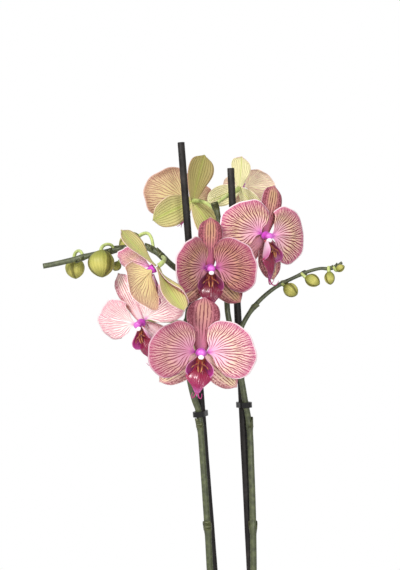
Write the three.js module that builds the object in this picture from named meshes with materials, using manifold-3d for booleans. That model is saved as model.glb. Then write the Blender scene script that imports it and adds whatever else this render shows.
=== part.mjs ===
// A potted moth orchid with two flower spikes. Millimetres, +Z up.
// The origin is the centre of the pot's underside, and the open flowers look mostly towards -Y.
// The plant's own places are counted from the bark's surface, so that it rises with the pot.

import * as THREE from "three";
import { mergeVertices } from "three/addons/utils/BufferGeometryUtils.js";
import Module from "manifold-3d";

const wasm = await Module();
wasm.setup();

// ---------------------------------------------------------------- driving dimensions

const CLEARANCE = 0.4; // gap between any two pieces that touch

const POT_HEIGHT = 118;
const POT_RIM_RADIUS = 63; // outside of the rim band
const POT_FOOT_RADIUS = 46;
const POT_WALL = 3.5;
const POT_FLOOR = 6;
const RIM_BAND_HEIGHT = 15;
const RIM_BAND_PROUD = 2; // how far the band stands out of the wall
const POT_SIDES = 32;

const BARK_BELOW_RIM = 14; // the watering space above the bark
const BARK_DOME = 3; // the bark heaps up by this much in the middle
const BARK_LUMPS = 1.2; // how far its surface goes up and down
const BARK_SIDES = 20;

const STAKE_RADIUS = 3.0;
const STAKE_END_ABOVE_FLOOR = 14;

const CROWN_RADIUS = 8;
const CROWN_HEIGHT = 36; // above the bark
const CROWN_DEPTH = 18; // below it

const LEAF_THICKNESS = 2.2;
const LEAF_CLEAR_OF_CROWN = 1.9;
const LEAF_PULL = 0.42; // where along a leaf its arch is pulled up
const LEAF_FOLD_AT_FOOT = 38; // how far each half stands up from level, in degrees
const LEAF_FOLD_AT_TIP = 9;

const ROOT_RADIUS = 2.8;

const SPIKE_RADIUS_LOW = 3.1;
const SPIKE_RADIUS_HIGH = 2.2;
const BRANCH_RADIUS_LOW = 2.3;
const BRANCH_RADIUS_HIGH = 1.3;
const FLOWER_STALK_RADIUS = 1.6;
const BUD_STALK_RADIUS = 1.5;

const CLIP_WALL = 1.5;
const CLIP_HEIGHT = 4.5;
const CLIP_SLACK = 0.55; // room round the stake and the spike inside a clip
const CLIP_TAB = 3.2;

const PETAL_LENGTH = 42; // from the claw, on a flower of size 1
const DORSAL_LENGTH = 42;
const DORSAL_WIDTH = 27;
const LATERAL_LENGTH = 44;
const LATERAL_WIDTH = 23;
const SEPAL_START = 1.2; // how far from the flower's axis a sepal begins
const SEPAL_BEHIND = 2.6; // how far behind the flower's centre it begins
const SEPAL_BOW = 1.6; // how far its middle comes forward
const TEPAL_THICKNESS = 1.1;
const COLUMN_RADIUS = 2.6;
const COLUMN_LENGTH = 8.5;
const LIP_LENGTH = 29;
const LIP_WIDTH = 18;
const LIP_BELLY = 9; // how far the middle lobe comes forward
const SIDE_LOBE_LENGTH = 13;
const SIDE_LOBE_WIDTH = 10;
const BOSS_RADIUS = 2.6; // the receptacle that the sepals grow from
const BOSS_FRONT = 1.6; // how far behind the flower's centre it begins
const BOSS_BACK = 6; // and ends

const BARK_Z = POT_HEIGHT - BARK_BELOW_RIM;

// ---------------------------------------------------------------- colours

const COLOURS = {
  pot: [0xe9e6df, 0.35],
  bark: [0x6b4630, 0.95],
  leaf: [0x3f6b2a, 0.4],
  crown: [0x5f7f3a, 0.6],
  root: [0x9aa88a, 0.8],
  spike: [0x4f5f34, 0.55],
  stake: [0x262224, 0.45],
  clip: [0x1c1d1f, 0.4],
  bud: [0xb4bd58, 0.5],
  sepal: [0xc98a86, 0.55],
  petal: [0xd98fa0, 0.55],
  lip: [0xa8125f, 0.45],
};

function materialOf(kind) {
  const [color, roughness] = COLOURS[kind];
  return new THREE.MeshStandardMaterial({ color, roughness, metalness: 0 });
}

// ---------------------------------------------------------------- small helpers

const V = (x, y, z) => new THREE.Vector3(x, y, z);
const radians = THREE.MathUtils.degToRad;
const mix = THREE.MathUtils.lerp;
const aboveBark = (x, y, z) => V(x, y, z + BARK_Z);

function curveThrough(points) {
  return new THREE.CatmullRomCurve3(
    points.map((p) => aboveBark(...p)),
    false,
    "centripetal",
  );
}

// Reads a value off a short list of [place, value] knots, with smooth stretches between them.
function alongKnots(knots, place) {
  const last = knots.length - 1;
  let i = 0;
  while (i < last - 1 && place > knots[i + 1][0]) i++;
  const [a, from] = knots[i];
  const [b, to] = knots[i + 1];
  const before = knots[Math.max(i - 1, 0)];
  const after = knots[Math.min(i + 2, last)];
  const slopeIn = (to - before[1]) / (b - before[0]);
  const slopeOut = (after[1] - from) / (after[0] - a);
  const width = b - a;
  const t = (place - a) / width;
  const h = 3 * t * t - 2 * t * t * t;
  const bendIn = t * (1 - t) * (1 - t) * slopeIn * width;
  const bendOut = t * t * (1 - t) * slopeOut * width;
  return from + (to - from) * h + bendIn - bendOut;
}

function indexed(vertices, triangles) {
  const geometry = new THREE.BufferGeometry();
  geometry.setAttribute("position", new THREE.Float32BufferAttribute(vertices, 3));
  geometry.setIndex(triangles);
  return geometry;
}

// Turns every face of a closed geometry round if they point inwards.
function facingOut(geometry) {
  const p = geometry.getAttribute("position");
  const t = Array.from(geometry.index.array);
  const a = V(0, 0, 0);
  const b = V(0, 0, 0);
  const c = V(0, 0, 0);
  let volume = 0;
  for (let i = 0; i < t.length; i += 3) {
    a.fromBufferAttribute(p, t[i]);
    b.fromBufferAttribute(p, t[i + 1]);
    c.fromBufferAttribute(p, t[i + 2]);
    volume += a.dot(b.cross(c));
  }
  if (volume < 0) {
    for (let i = 0; i < t.length; i += 3) [t[i + 1], t[i + 2]] = [t[i + 2], t[i + 1]];
    geometry.setIndex(t);
  }
  return geometry;
}

// A thin closed solid that follows a surface: at(u, v) with u and v from 0 to 1.
function sheet(at, thickness, uSteps, vSteps) {
  const vertices = [];
  const triangles = [];
  const d = 0.004;
  const row = vSteps + 1;
  const layer = (uSteps + 1) * row;
  for (const side of [0.5, -0.5]) {
    for (let i = 0; i <= uSteps; i++) {
      for (let j = 0; j <= vSteps; j++) {
        const u = Math.min(Math.max(i / uSteps, d), 1 - d);
        const v = Math.min(Math.max(j / vSteps, d), 1 - d);
        const along = at(u + d, v).sub(at(u - d, v));
        const across = at(u, v + d).sub(at(u, v - d));
        const normal = along.cross(across).normalize();
        const p = at(i / uSteps, j / vSteps).addScaledVector(normal, side * thickness);
        vertices.push(p.x, p.y, p.z);
      }
    }
  }
  const quad = (a, b, c, e) => triangles.push(a, b, c, a, c, e);
  for (let i = 0; i < uSteps; i++) {
    for (let j = 0; j < vSteps; j++) {
      const k = i * row + j;
      quad(k, k + row, k + row + 1, k + 1);
      quad(layer + k, layer + k + 1, layer + k + row + 1, layer + k + row);
    }
  }
  for (let i = 0; i < uSteps; i++) {
    const low = i * row;
    const high = low + vSteps;
    quad(low, layer + low, layer + low + row, low + row);
    quad(high + row, layer + high + row, layer + high, high);
  }
  for (let j = 0; j < vSteps; j++) {
    const near = j;
    const far = uSteps * row + j;
    quad(near + 1, layer + near + 1, layer + near, near);
    quad(far, layer + far, layer + far + 1, far + 1);
  }
  return facingOut(indexed(vertices, triangles));
}

// A closed round rod along a curve, whose radius may change on the way.
function rod(curve, radiusAt, sides, steps) {
  const frames = curve.computeFrenetFrames(steps, false);
  const vertices = [];
  const triangles = [];
  for (let i = 0; i <= steps; i++) {
    const centre = curve.getPointAt(i / steps);
    for (let j = 0; j < sides; j++) {
      const angle = (j / sides) * 2 * Math.PI;
      const p = centre
        .clone()
        .addScaledVector(frames.normals[i], Math.cos(angle) * radiusAt(i / steps))
        .addScaledVector(frames.binormals[i], Math.sin(angle) * radiusAt(i / steps));
      vertices.push(p.x, p.y, p.z);
    }
  }
  for (let i = 0; i < steps; i++) {
    for (let j = 0; j < sides; j++) {
      const a = i * sides + j;
      const b = i * sides + ((j + 1) % sides);
      triangles.push(a, b, b + sides, a, b + sides, a + sides);
    }
  }
  const end = steps * sides;
  for (let j = 1; j < sides - 1; j++) {
    triangles.push(0, j + 1, j, end, end + j, end + j + 1);
  }
  return facingOut(indexed(vertices, triangles));
}

function solidOf(geometry) {
  const g = geometry.clone();
  g.deleteAttribute("normal");
  g.deleteAttribute("uv");
  const merged = mergeVertices(g, 1e-4);
  const vertProperties = new Float32Array(merged.getAttribute("position").array);
  const triVerts = new Uint32Array(merged.index.array);
  return new wasm.Manifold(new wasm.Mesh({ numProp: 3, vertProperties, triVerts }));
}

function geometryOf(solid) {
  const mesh = solid.getMesh();
  return indexed(Array.from(mesh.vertProperties), Array.from(mesh.triVerts));
}

function joined(geometries) {
  return geometryOf(geometries.map(solidOf).reduce((a, b) => a.add(b)));
}

function named(name, kind, geometry) {
  const mesh = new THREE.Mesh(geometry, materialOf(kind));
  mesh.name = name;
  return mesh;
}

// ---------------------------------------------------------------- pot and bark

const innerRadiusAt = (z) => {
  const wallRim = POT_RIM_RADIUS - RIM_BAND_PROUD;
  return mix(POT_FOOT_RADIUS, wallRim, z / POT_HEIGHT) - POT_WALL;
};

function pot() {
  const wallRim = POT_RIM_RADIUS - RIM_BAND_PROUD;
  const bandFoot = POT_HEIGHT - RIM_BAND_HEIGHT;
  const wallAtBand = mix(POT_FOOT_RADIUS, wallRim, bandFoot / POT_HEIGHT);
  const soften = 1.5;
  const outline = [
    [0, 0],
    [POT_FOOT_RADIUS - soften, 0],
    [POT_FOOT_RADIUS, soften],
    [wallAtBand, bandFoot],
    [wallAtBand + RIM_BAND_PROUD, bandFoot + RIM_BAND_PROUD],
    [POT_RIM_RADIUS, POT_HEIGHT - soften],
    [POT_RIM_RADIUS - soften, POT_HEIGHT],
    [innerRadiusAt(POT_HEIGHT), POT_HEIGHT],
    [innerRadiusAt(POT_FLOOR), POT_FLOOR],
    [0, POT_FLOOR],
  ];
  const profile = outline.map(([r, z]) => new THREE.Vector2(r, z));
  const geometry = new THREE.LatheGeometry(profile, POT_SIDES).rotateX(Math.PI / 2);
  return named("pot", "pot", geometry);
}

function bark(holes) {
  const bottom = POT_FLOOR + CLEARANCE;
  const profile = [new THREE.Vector2(0, bottom)];
  profile.push(new THREE.Vector2(innerRadiusAt(bottom) - CLEARANCE, bottom));
  const topRadius = innerRadiusAt(BARK_Z) - CLEARANCE;
  for (const share of [1, 0.8, 0.6, 0.4, 0.2]) {
    const z = BARK_Z + BARK_DOME * (1 - share * share);
    profile.push(new THREE.Vector2(topRadius * share, z));
  }
  profile.push(new THREE.Vector2(0, BARK_Z + BARK_DOME));
  const geometry = new THREE.LatheGeometry(profile, BARK_SIDES).rotateX(Math.PI / 2);
  const p = geometry.getAttribute("position");
  for (let i = 0; i < p.count; i++) {
    const x = p.getX(i);
    const y = p.getY(i);
    const z = p.getZ(i);
    if (z <= BARK_Z + 0.01) continue; // the rim of the heap stays level
    p.setZ(i, z + BARK_LUMPS * Math.sin(x * 0.31 + 1) * Math.cos(y * 0.27));
  }
  let solid = solidOf(geometry);
  for (const hole of holes) solid = solid.subtract(solidOf(hole));
  return named("potting_bark", "bark", geometryOf(solid));
}

// ---------------------------------------------------------------- stakes

// Each stake leans a little: where its axis is at the bark, and where its top is.
const STAKES = {
  left: { foot: [-12.1, 17, 0], top: [-49.0, 2.0, 477.6] },
  right: { foot: [14.7, 12.8, 0], top: [-7.6, 6.0, 456.4] },
};

function stakeLine(side) {
  const { foot, top } = STAKES[side];
  const at = aboveBark(...foot);
  const direction = aboveBark(...top).sub(at).normalize();
  return { at, direction, top: aboveBark(...top) };
}

function stakePoint(side, z) {
  const { at, direction } = stakeLine(side);
  return at.clone().addScaledVector(direction, (z - at.z) / direction.z);
}

function stakeGeometry(side, radius) {
  const low = stakePoint(side, POT_FLOOR + STAKE_END_ABOVE_FLOOR);
  const line = new THREE.LineCurve3(low, stakeLine(side).top);
  return rod(line, () => radius, 12, 1);
}

// ---------------------------------------------------------------- crown, leaves and roots

function crownGeometry(grow) {
  const profile = [
    [0, -CROWN_DEPTH - grow],
    [CROWN_RADIUS * 0.7 + grow, -CROWN_DEPTH - grow],
    [CROWN_RADIUS + grow, 0],
    [CROWN_RADIUS * 0.95 + grow, CROWN_HEIGHT * 0.6],
    [CROWN_RADIUS * 0.45 + grow, CROWN_HEIGHT * 0.95],
    [0, CROWN_HEIGHT + grow],
  ].map(([r, z]) => new THREE.Vector2(r, z + BARK_Z));
  return new THREE.LatheGeometry(profile, 12).rotateX(Math.PI / 2);
}

// Leaves stand in two ranks. heading is the way a leaf points, 0 along +X, and rise, tip and base
// are heights above the bark: of the arch's pull, of the tip and of the leaf's foot on the crown.
const LEAVES = [
  { name: "leaf_low_right", heading: -24, length: 148, width: 56, base: 9, rise: 40, tip: 6 },
  { name: "leaf_low_left", heading: 206, length: 156, width: 58, base: 9, rise: 38, tip: 0 },
  { name: "leaf_middle_right", heading: -35, length: 132, width: 54, base: 18.5, rise: 70, tip: 50 },
  { name: "leaf_middle_left", heading: 217, length: 138, width: 55, base: 18.5, rise: 72, tip: 46 },
  { name: "leaf_upper_right", heading: -17, length: 104, width: 46, base: 28, rise: 84, tip: 80 },
  { name: "leaf_upper_left", heading: 199, length: 98, width: 44, base: 28, rise: 86, tip: 84 },
];
const LEAF_OUTLINE = [
  [0, 0.3],
  [0.12, 0.42],
  [0.35, 0.82],
  [0.62, 1],
  [0.82, 0.86],
  [0.94, 0.52],
  [1, 0.1],
];

function leaf({ name, heading, length, width, base, rise, tip }) {
  const start = CROWN_RADIUS + LEAF_CLEAR_OF_CROWN;
  const midrib = new THREE.QuadraticBezierCurve3(
    V(start, 0, base),
    V(start + length * LEAF_PULL, 0, rise),
    V(start + length, 0, tip),
  );
  const turn = new THREE.Matrix4().makeRotationZ(radians(heading));
  const at = (u, v) => {
    const centre = midrib.getPoint(u);
    const slope = midrib.getTangent(u);
    const up = V(-slope.z, 0, slope.x);
    const across = 2 * v - 1;
    const half = 0.5 * width * alongKnots(LEAF_OUTLINE, u);
    const flattened = Math.min(u * 1.6, 1);
    const fold = radians(mix(LEAF_FOLD_AT_FOOT, LEAF_FOLD_AT_TIP, flattened));
    const p = centre.addScaledVector(up, Math.abs(across) * half * Math.sin(fold));
    p.y += across * half * Math.cos(fold);
    return p.applyMatrix4(turn).add(V(0, 0, BARK_Z));
  };
  return named(name, "leaf", sheet(at, LEAF_THICKNESS, 8, 2));
}

// Points by their heading and their height above the bark, at a distance outwards from the pot's
// rim or inwards from the inside of its wall.
const polar = (heading, reach, height) => {
  const angle = radians(heading);
  return [reach * Math.cos(angle), reach * Math.sin(angle), height];
};
const fromRim = (heading, out, height) => polar(heading, POT_RIM_RADIUS + out, height);
const fromWall = (heading, inwards, height) =>
  polar(heading, innerRadiusAt(BARK_Z + height) - inwards, height);

// Each root starts on the crown. Its far end keeps its distance from the pot.
const ROOTS = {
  root_over_rim: [
    [-3, -9.5, 5],
    [-13, -27, 15],
    fromRim(-117.6, -11.1, 20),
    fromRim(-118.1, 2.8, 18.5),
    fromRim(-118.6, 12.2, 8),
    fromRim(-119, 15.3, -10),
    fromRim(-117.6, 14.8, -28),
  ],
  root_front: [
    [4.5, -9, 4],
    [13, -20, 9],
    fromRim(-58, -25.3, 8),
    fromWall(-59.7, 8.3, 1),
    fromWall(-61, 3.2, -9),
  ],
  root_back: [
    [-0.5, 11.5, 5],
    [2.5, 24, 10.5],
    fromRim(91.6, -26, 9.5),
    fromWall(96.5, 11.6, 1),
    fromWall(97.4, 8.2, -9),
  ],
};

function rootGeometry(name, grow) {
  const taper = (t) => ROOT_RADIUS * mix(1, 0.85, t) + grow;
  return rod(curveThrough(ROOTS[name]), taper, 7, 10);
}

// ---------------------------------------------------------------- flower spikes

const LEFT_SPIKE = [
  [-8, 9.8, 8],
  [-10, 8, 34],
  [-16.4, 6.6, 66],
  [-22.6, 6.6, 96],
  [-26.8, 5.2, 156],
  [-30.3, 3.8, 206],
  [-33, 2.6, 241],
  [-34.6, 2, 255],
  [-37.8, 0, 264],
  [-42.2, 0, 283],
  [-44.4, 1, 305],
  [-44, 0, 326],
  [-41.6, -1.2, 344],
  [-37.6, -3, 354],
  [-38.5, -5, 363],
  [-45, -6, 369],
  [-53.5, -6, 373],
  [-64, -6, 382],
  [-73, -6, 388.4],
  [-83, -5, 390.6],
  [-94, -4, 389.6],
  [-105.4, -3, 387.5],
  [-122.8, -3, 383.8],
  [-137, -4, 380.2],
  [-152, -5, 376.6],
  [-163, -6, 374.5],
];
const RIGHT_SPIKE = [
  [7, 9.8, 8],
  [7.4, 7.8, 34],
  [9, 5.4, 66],
  [11, 4.7, 96],
  [11, 3.8, 156],
  [9.6, 4.2, 206],
  [8, 4.9, 241],
  [4.6, 2.4, 261],
  [0.8, 1.2, 283],
  [-3.7, 0.5, 306.6],
  [-8.3, 1, 325.7],
  [-10.2, 1.5, 336],
  [-10.9, 2, 346.4],
  [-11.6, 2.5, 363],
  [-13.3, 3, 384],
  [-15.8, 4, 403],
  [-18.3, 5, 417],
  [-21.2, 6, 427.5],
];
const SIDE_BRANCH = [
  [-3.2, -4.9, 309],
  [-1, -5, 317.4],
  [2.4, -4.6, 326.6],
  [10.8, -4.6, 340],
  [20.3, -4.4, 350],
  [32.4, -4, 359],
  [42.5, -3.6, 364],
  [55.2, -3, 369.6],
  [66.7, -3, 372.6],
  [73, -3, 372.4],
  [78.5, -3, 373.6],
  [84.5, -3, 377.6],
];
// Where a clip holds a spike to its stake, as a height above the bark.
const CLIPS = {
  clip_left_low: { side: "left", spike: LEFT_SPIKE, height: 96 },
  clip_left_middle: { side: "left", spike: LEFT_SPIKE, height: 252 },
  clip_left_high: { side: "left", spike: LEFT_SPIKE, height: 344 },
  clip_right_low: { side: "right", spike: RIGHT_SPIKE, height: 96 },
  clip_right_middle: { side: "right", spike: RIGHT_SPIKE, height: 259 },
};

function pointAtHeight(points, height) {
  const curve = curveThrough(points);
  let best = 0;
  for (let i = 0; i <= 800; i++) {
    const gap = Math.abs(curve.getPoint(i / 800).z - BARK_Z - height);
    if (gap < Math.abs(curve.getPoint(best).z - BARK_Z - height) - 1e-6) best = i / 800;
  }
  return curve.getPoint(best);
}

// A band round the stake and the spike, with a finger tab at its far side.
function clip(name) {
  const { side, spike, height } = CLIPS[name];
  const onSpike = pointAtHeight(spike, height);
  const onStake = stakePoint(side, onSpike.z);
  const reach = onSpike.clone().sub(onStake);
  const apart = reach.length();
  const room = Math.max(STAKE_RADIUS, SPIKE_RADIUS_LOW) + CLIP_SLACK;
  const oval = (radius) => {
    const shape = new THREE.Shape();
    shape.absarc(apart, 0, radius, -Math.PI / 2, Math.PI / 2, false);
    shape.absarc(0, 0, radius, Math.PI / 2, Math.PI * 1.5, false);
    return shape;
  };
  const band = oval(room + CLIP_WALL);
  band.holes.push(oval(room));
  const extrude = { depth: CLIP_HEIGHT, bevelEnabled: false, curveSegments: 4 };
  const ring = new THREE.ExtrudeGeometry(band, extrude).translate(0, 0, -CLIP_HEIGHT / 2);
  const tab = new THREE.BoxGeometry(CLIP_TAB + CLIP_WALL, 2.2, CLIP_HEIGHT * 0.8);
  tab.translate(-(room + CLIP_WALL + CLIP_TAB / 2) + CLIP_WALL / 2 - 0.2, 0, 0);
  const geometry = joined([ring, tab]);
  const up = stakeLine(side).direction.clone();
  const x = reach.addScaledVector(up, -reach.dot(up)).normalize();
  const y = up.clone().cross(x);
  geometry.applyMatrix4(new THREE.Matrix4().makeBasis(x, y, up).setPosition(onStake));
  return named(name, "clip", geometry);
}

// ---------------------------------------------------------------- flowers

// at: the flower's centre; face: the way it looks; lean: how far its dorsal sepal leans to the
// right of upright, as seen from the front of the plant; sweep: how far the left and right
// petals come forward; turn: how far they are turned up in their own plane; fan: the share of
// the full spread that they open to; back: how far the dorsal and the two lower sepals lean
// back; spread: how far the lower sepals point below level; twist: their turn about their own
// length; dorsal and lower: those sepals' share of full length and width; stalk: where the stalk
// leaves the spike; bow: how far the stalk carries on straight behind the flower, as a share of
// its length. Angles are in degrees.
const FLOWERS = [
  {
    name: "front_flower",
    at: [-32.4, -72, 304.9],
    face: [0.03, -1, 0.02],
    lean: 4,
    size: 1.01,
    sweep: [4, 4],
    turn: [-2, -3],
    fan: 1,
    back: [6, 20],
    spread: 39,
    twist: 0,
    dorsal: [1.04, 1],
    lower: [0.95, 0.95],
    spike: "left",
    stalk: [-44.3, 0.8, 311],
    bow: 0.42,
  },
  {
    name: "middle_flower",
    at: [-25.1, -32, 371.8],
    face: [0.15, -0.98, -0.05],
    lean: 1,
    size: 0.97,
    sweep: [42, 36],
    turn: [-5, -7],
    fan: 1,
    back: [-2, -4],
    spread: 62,
    twist: 0,
    dorsal: [0.92, 0.82],
    lower: [1, 1],
    spike: "right",
    stalk: [-12.2, 2.6, 371],
    bow: 0.42,
  },
  {
    name: "right_flower",
    at: [20.6, -15, 399],
    face: [0.42, -0.9, -0.1],
    lean: 11,
    size: 0.96,
    sweep: [-12, -16],
    turn: [-5, -3],
    fan: 1.05,
    back: [12, 16],
    spread: 56,
    twist: 0,
    dorsal: [0.98, 0.68],
    lower: [1, 1],
    spike: "right",
    stalk: [-14.2, 3.3, 391],
    bow: 0.42,
  },
  {
    name: "left_flower",
    at: [-81.2, -12, 327.2],
    face: [-0.42, -0.88, -0.2],
    lean: -31,
    size: 0.98,
    sweep: [-12, -3],
    turn: [24, -16],
    fan: 0.72,
    back: [8, 16],
    spread: 74,
    twist: 0,
    dorsal: [1.1, 0.8],
    lower: [1, 1],
    spike: "left",
    stalk: [-44, -0.2, 327],
    bow: 0.42,
  },
  {
    name: "side_flower",
    at: [-69, -72, 372],
    face: [-0.84, 0.13, -0.54],
    lean: -33,
    size: 0.97,
    sweep: [42, 16],
    turn: [0, -27],
    fan: 0.9,
    back: [-12, 1],
    spread: 70,
    twist: 26,
    dorsal: [0.98, 0.95],
    lower: [1, 1],
    spike: "left",
    stalk: [-64, -6, 382],
    bow: 0.16,
  },
  {
    name: "back_left_flower",
    at: [-40.6, 36, 430.4],
    face: [-0.5, 0.86, -0.02],
    lean: 13,
    size: 0.94,
    sweep: [24, 24],
    turn: [0, 0],
    fan: 1,
    back: [2, 8],
    spread: 38,
    twist: 0,
    dorsal: [1.02, 1],
    lower: [1.12, 1.2],
    spike: "right",
    stalk: [-19.4, 5.4, 421],
    bow: 0.42,
  },
  {
    name: "back_right_flower",
    at: [0.8, 30, 441.8],
    face: [0.4, 0.8, 0.45],
    lean: 5,
    size: 0.74,
    sweep: [24, 24],
    turn: [0, -14],
    fan: 1,
    back: [2, 8],
    spread: 36,
    twist: 0,
    dorsal: [0.98, 0.9],
    lower: [1, 1.1],
    spike: "right",
    stalk: [-20.7, 5.8, 425.6],
    bow: 0.3,
  },
];

// How far a petal reaches along each of its rays, from its lower edge to its upper one.
const PETAL_FAN = [
  [-1, 0.58],
  [-0.8, 0.86],
  [-0.45, 0.99],
  [-0.15, 1],
  [0.3, 0.87],
  [0.7, 0.72],
  [1, 0.5],
];
const PETAL_TILT = 19.5; // the middle ray's angle above level
const PETAL_SPREAD = 66; // half the fan's angle
const CLAW_REACH = 2; // the claw's radius, where the fan starts
const CLAW_SPREAD = 0.42; // the share of the fan's angle that the claw takes up
const CLAW_AT = [3.1, -0.9, 0.6]; // the fan's centre, from the flower's
const PETAL_BOW = 2.2; // how far the middle of a petal comes forward

function petalPoint(side, { sweep, turn, fan }, u, v) {
  const which = side < 0 ? 0 : 1;
  const s = 2 * v - 1;
  const open = THREE.MathUtils.smoothstep(u, 0, 0.5);
  const spread = s * fan * PETAL_SPREAD * mix(CLAW_SPREAD, 1, open);
  const angle = radians(PETAL_TILT + turn[which] + spread);
  const reach = mix(CLAW_REACH, PETAL_LENGTH * alongKnots(PETAL_FAN, s), u);
  const bow = PETAL_BOW * Math.sin(Math.PI * 0.8 * u);
  const p = V(reach * Math.cos(angle), -bow, reach * Math.sin(angle));
  p.applyAxisAngle(V(0, 0, 1), -radians(sweep[which])).add(V(...CLAW_AT));
  return V(side * p.x, p.y, p.z);
}

const petal = (side, spec) =>
  sheet((u, v) => petalPoint(side, spec, u, v), TEPAL_THICKNESS, 4, 7);

const DORSAL_OUTLINE = [
  [0, 0.3],
  [0.25, 0.62],
  [0.6, 1],
  [0.85, 0.78],
  [0.96, 0.42],
  [1, 0.08],
];
const LATERAL_OUTLINE = [
  [0, 0.32],
  [0.25, 0.8],
  [0.5, 1],
  [0.8, 0.7],
  [0.95, 0.32],
  [1, 0.06],
];

// A sepal points along angle, measured from level, leans back and turns about its own length.
// Its sides curl a little to the front, by TROUGH for each square millimetre.
const TROUGH = 0.012;
function sepal(angle, length, width, outline, back, twist) {
  const at = (u, v) => {
    const half = 0.5 * width * alongKnots(outline, u);
    const across = (2 * v - 1) * half;
    const cup = TROUGH * across * across - SEPAL_BOW * Math.sin(Math.PI * u);
    const p = V(SEPAL_START + u * length, cup, across);
    p.applyAxisAngle(V(1, 0, 0), radians(twist * THREE.MathUtils.smoothstep(u, 0, 0.6)));
    p.applyAxisAngle(V(0, 0, 1), radians(back));
    p.applyAxisAngle(V(0, 1, 0), -radians(angle));
    return p.add(V(0, SEPAL_BEHIND, 0));
  };
  return sheet(at, TEPAL_THICKNESS, 5, 2);
}

function sepals({ back, spread, twist, dorsal, lower }) {
  const depth = BOSS_BACK - BOSS_FRONT;
  const boss = new THREE.CylinderGeometry(BOSS_RADIUS, BOSS_RADIUS * 0.7, depth, 7);
  boss.translate(0, (BOSS_BACK + BOSS_FRONT) / 2, 0);
  const [longer, wider] = dorsal;
  const [lean, lowLean] = back;
  const [length, width] = [LATERAL_LENGTH * lower[0], LATERAL_WIDTH * lower[1]];
  return joined([
    boss,
    sepal(90, DORSAL_LENGTH * longer, DORSAL_WIDTH * wider, DORSAL_OUTLINE, lean, 0),
    sepal(-spread, length, width, LATERAL_OUTLINE, lowLean, twist),
    sepal(180 + spread, length, width, LATERAL_OUTLINE, lowLean, -twist),
  ]);
}

// How wide each lobe is along its length, as a share of its full width.
const MIDDLE_LOBE_OUTLINE = [
  [0, 0.45],
  [0.25, 0.62],
  [0.55, 1],
  [0.8, 0.55],
  [1, 0.3],
];
const SIDE_LOBE_OUTLINE = [
  [0, 0.5],
  [0.5, 1],
  [0.85, 0.8],
  [1, 0.3],
];

// The column, the middle lobe that hangs below it, and the two side lobes that cup its foot.
function lip() {
  const column = new THREE.CylinderGeometry(
    COLUMN_RADIUS * 1.15,
    COLUMN_RADIUS * 0.8,
    COLUMN_LENGTH,
    8,
  );
  column.rotateX(Math.PI); // its wide end looks forward
  column.translate(0, -COLUMN_LENGTH / 2 - 0.2, 0);
  const middleAt = (u, v) => {
    const across = (2 * v - 1) * 0.5 * LIP_WIDTH * alongKnots(MIDDLE_LOBE_OUTLINE, u);
    const belly = LIP_BELLY * Math.sin(u * 1.9) + 0.03 * across * across;
    return V(across, -4 - belly, -2.5 - u * LIP_LENGTH);
  };
  const sideAt = (side) => (u, v) => {
    const along = 2 + u * SIDE_LOBE_LENGTH;
    const across = (v - 0.5) * SIDE_LOBE_WIDTH * alongKnots(SIDE_LOBE_OUTLINE, u);
    const out = 2.2 + 0.42 * along + 0.5 * Math.sin(u * 2.2);
    const forward = 4.5 + 0.45 * along + 0.75 * across;
    return V(side * out, -forward, -3 - 0.72 * along + 0.45 * across);
  };
  return joined([
    column,
    sheet(middleAt, TEPAL_THICKNESS * 1.6, 4, 2),
    sheet(sideAt(1), TEPAL_THICKNESS, 3, 2),
    sheet(sideAt(-1), TEPAL_THICKNESS, 3, 2),
  ]);
}

// The dorsal sepal's way up is square to the face, and leans by `lean` when seen from the front.
function flowerMatrix({ at, face, lean, size }) {
  const y = V(...face).normalize().negate();
  const up = V(Math.sin(radians(lean)), 0, Math.cos(radians(lean)));
  up.y = -up.dot(y) / y.y;
  const z = up.normalize();
  const x = y.clone().cross(z);
  const matrix = new THREE.Matrix4().makeBasis(x, y, z);
  return matrix.scale(V(size, size, size)).setPosition(aboveBark(...at));
}

function flower(spec) {
  const group = new THREE.Group();
  group.add(
    named(`${spec.name}_sepals`, "sepal", sepals(spec)),
    named(`${spec.name}_petal_left`, "petal", petal(-1, spec)),
    named(`${spec.name}_petal_right`, "petal", petal(1, spec)),
    named(`${spec.name}_lip`, "lip", lip()),
  );
  group.applyMatrix4(flowerMatrix(spec));
  return group;
}

// The stalk leaves the spike and comes up to the flower's boss from behind.
function flowerStalk(spec) {
  const matrix = flowerMatrix(spec);
  const gap = BOSS_BACK + CLEARANCE / spec.size;
  const end = V(0, gap, 0).applyMatrix4(matrix);
  const back = V(0, 1, 0).transformDirection(matrix);
  const start = aboveBark(...spec.stalk);
  const bow = start.distanceTo(end) * spec.bow;
  const curve = new THREE.CubicBezierCurve3(
    start,
    start.clone().lerp(end, 0.25).add(V(0, 0, 2)),
    end.clone().addScaledVector(back, bow),
    end,
  );
  return rod(curve, (t) => FLOWER_STALK_RADIUS * mix(1, 1.25, t), 5, 6);
}

// ---------------------------------------------------------------- buds

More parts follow.
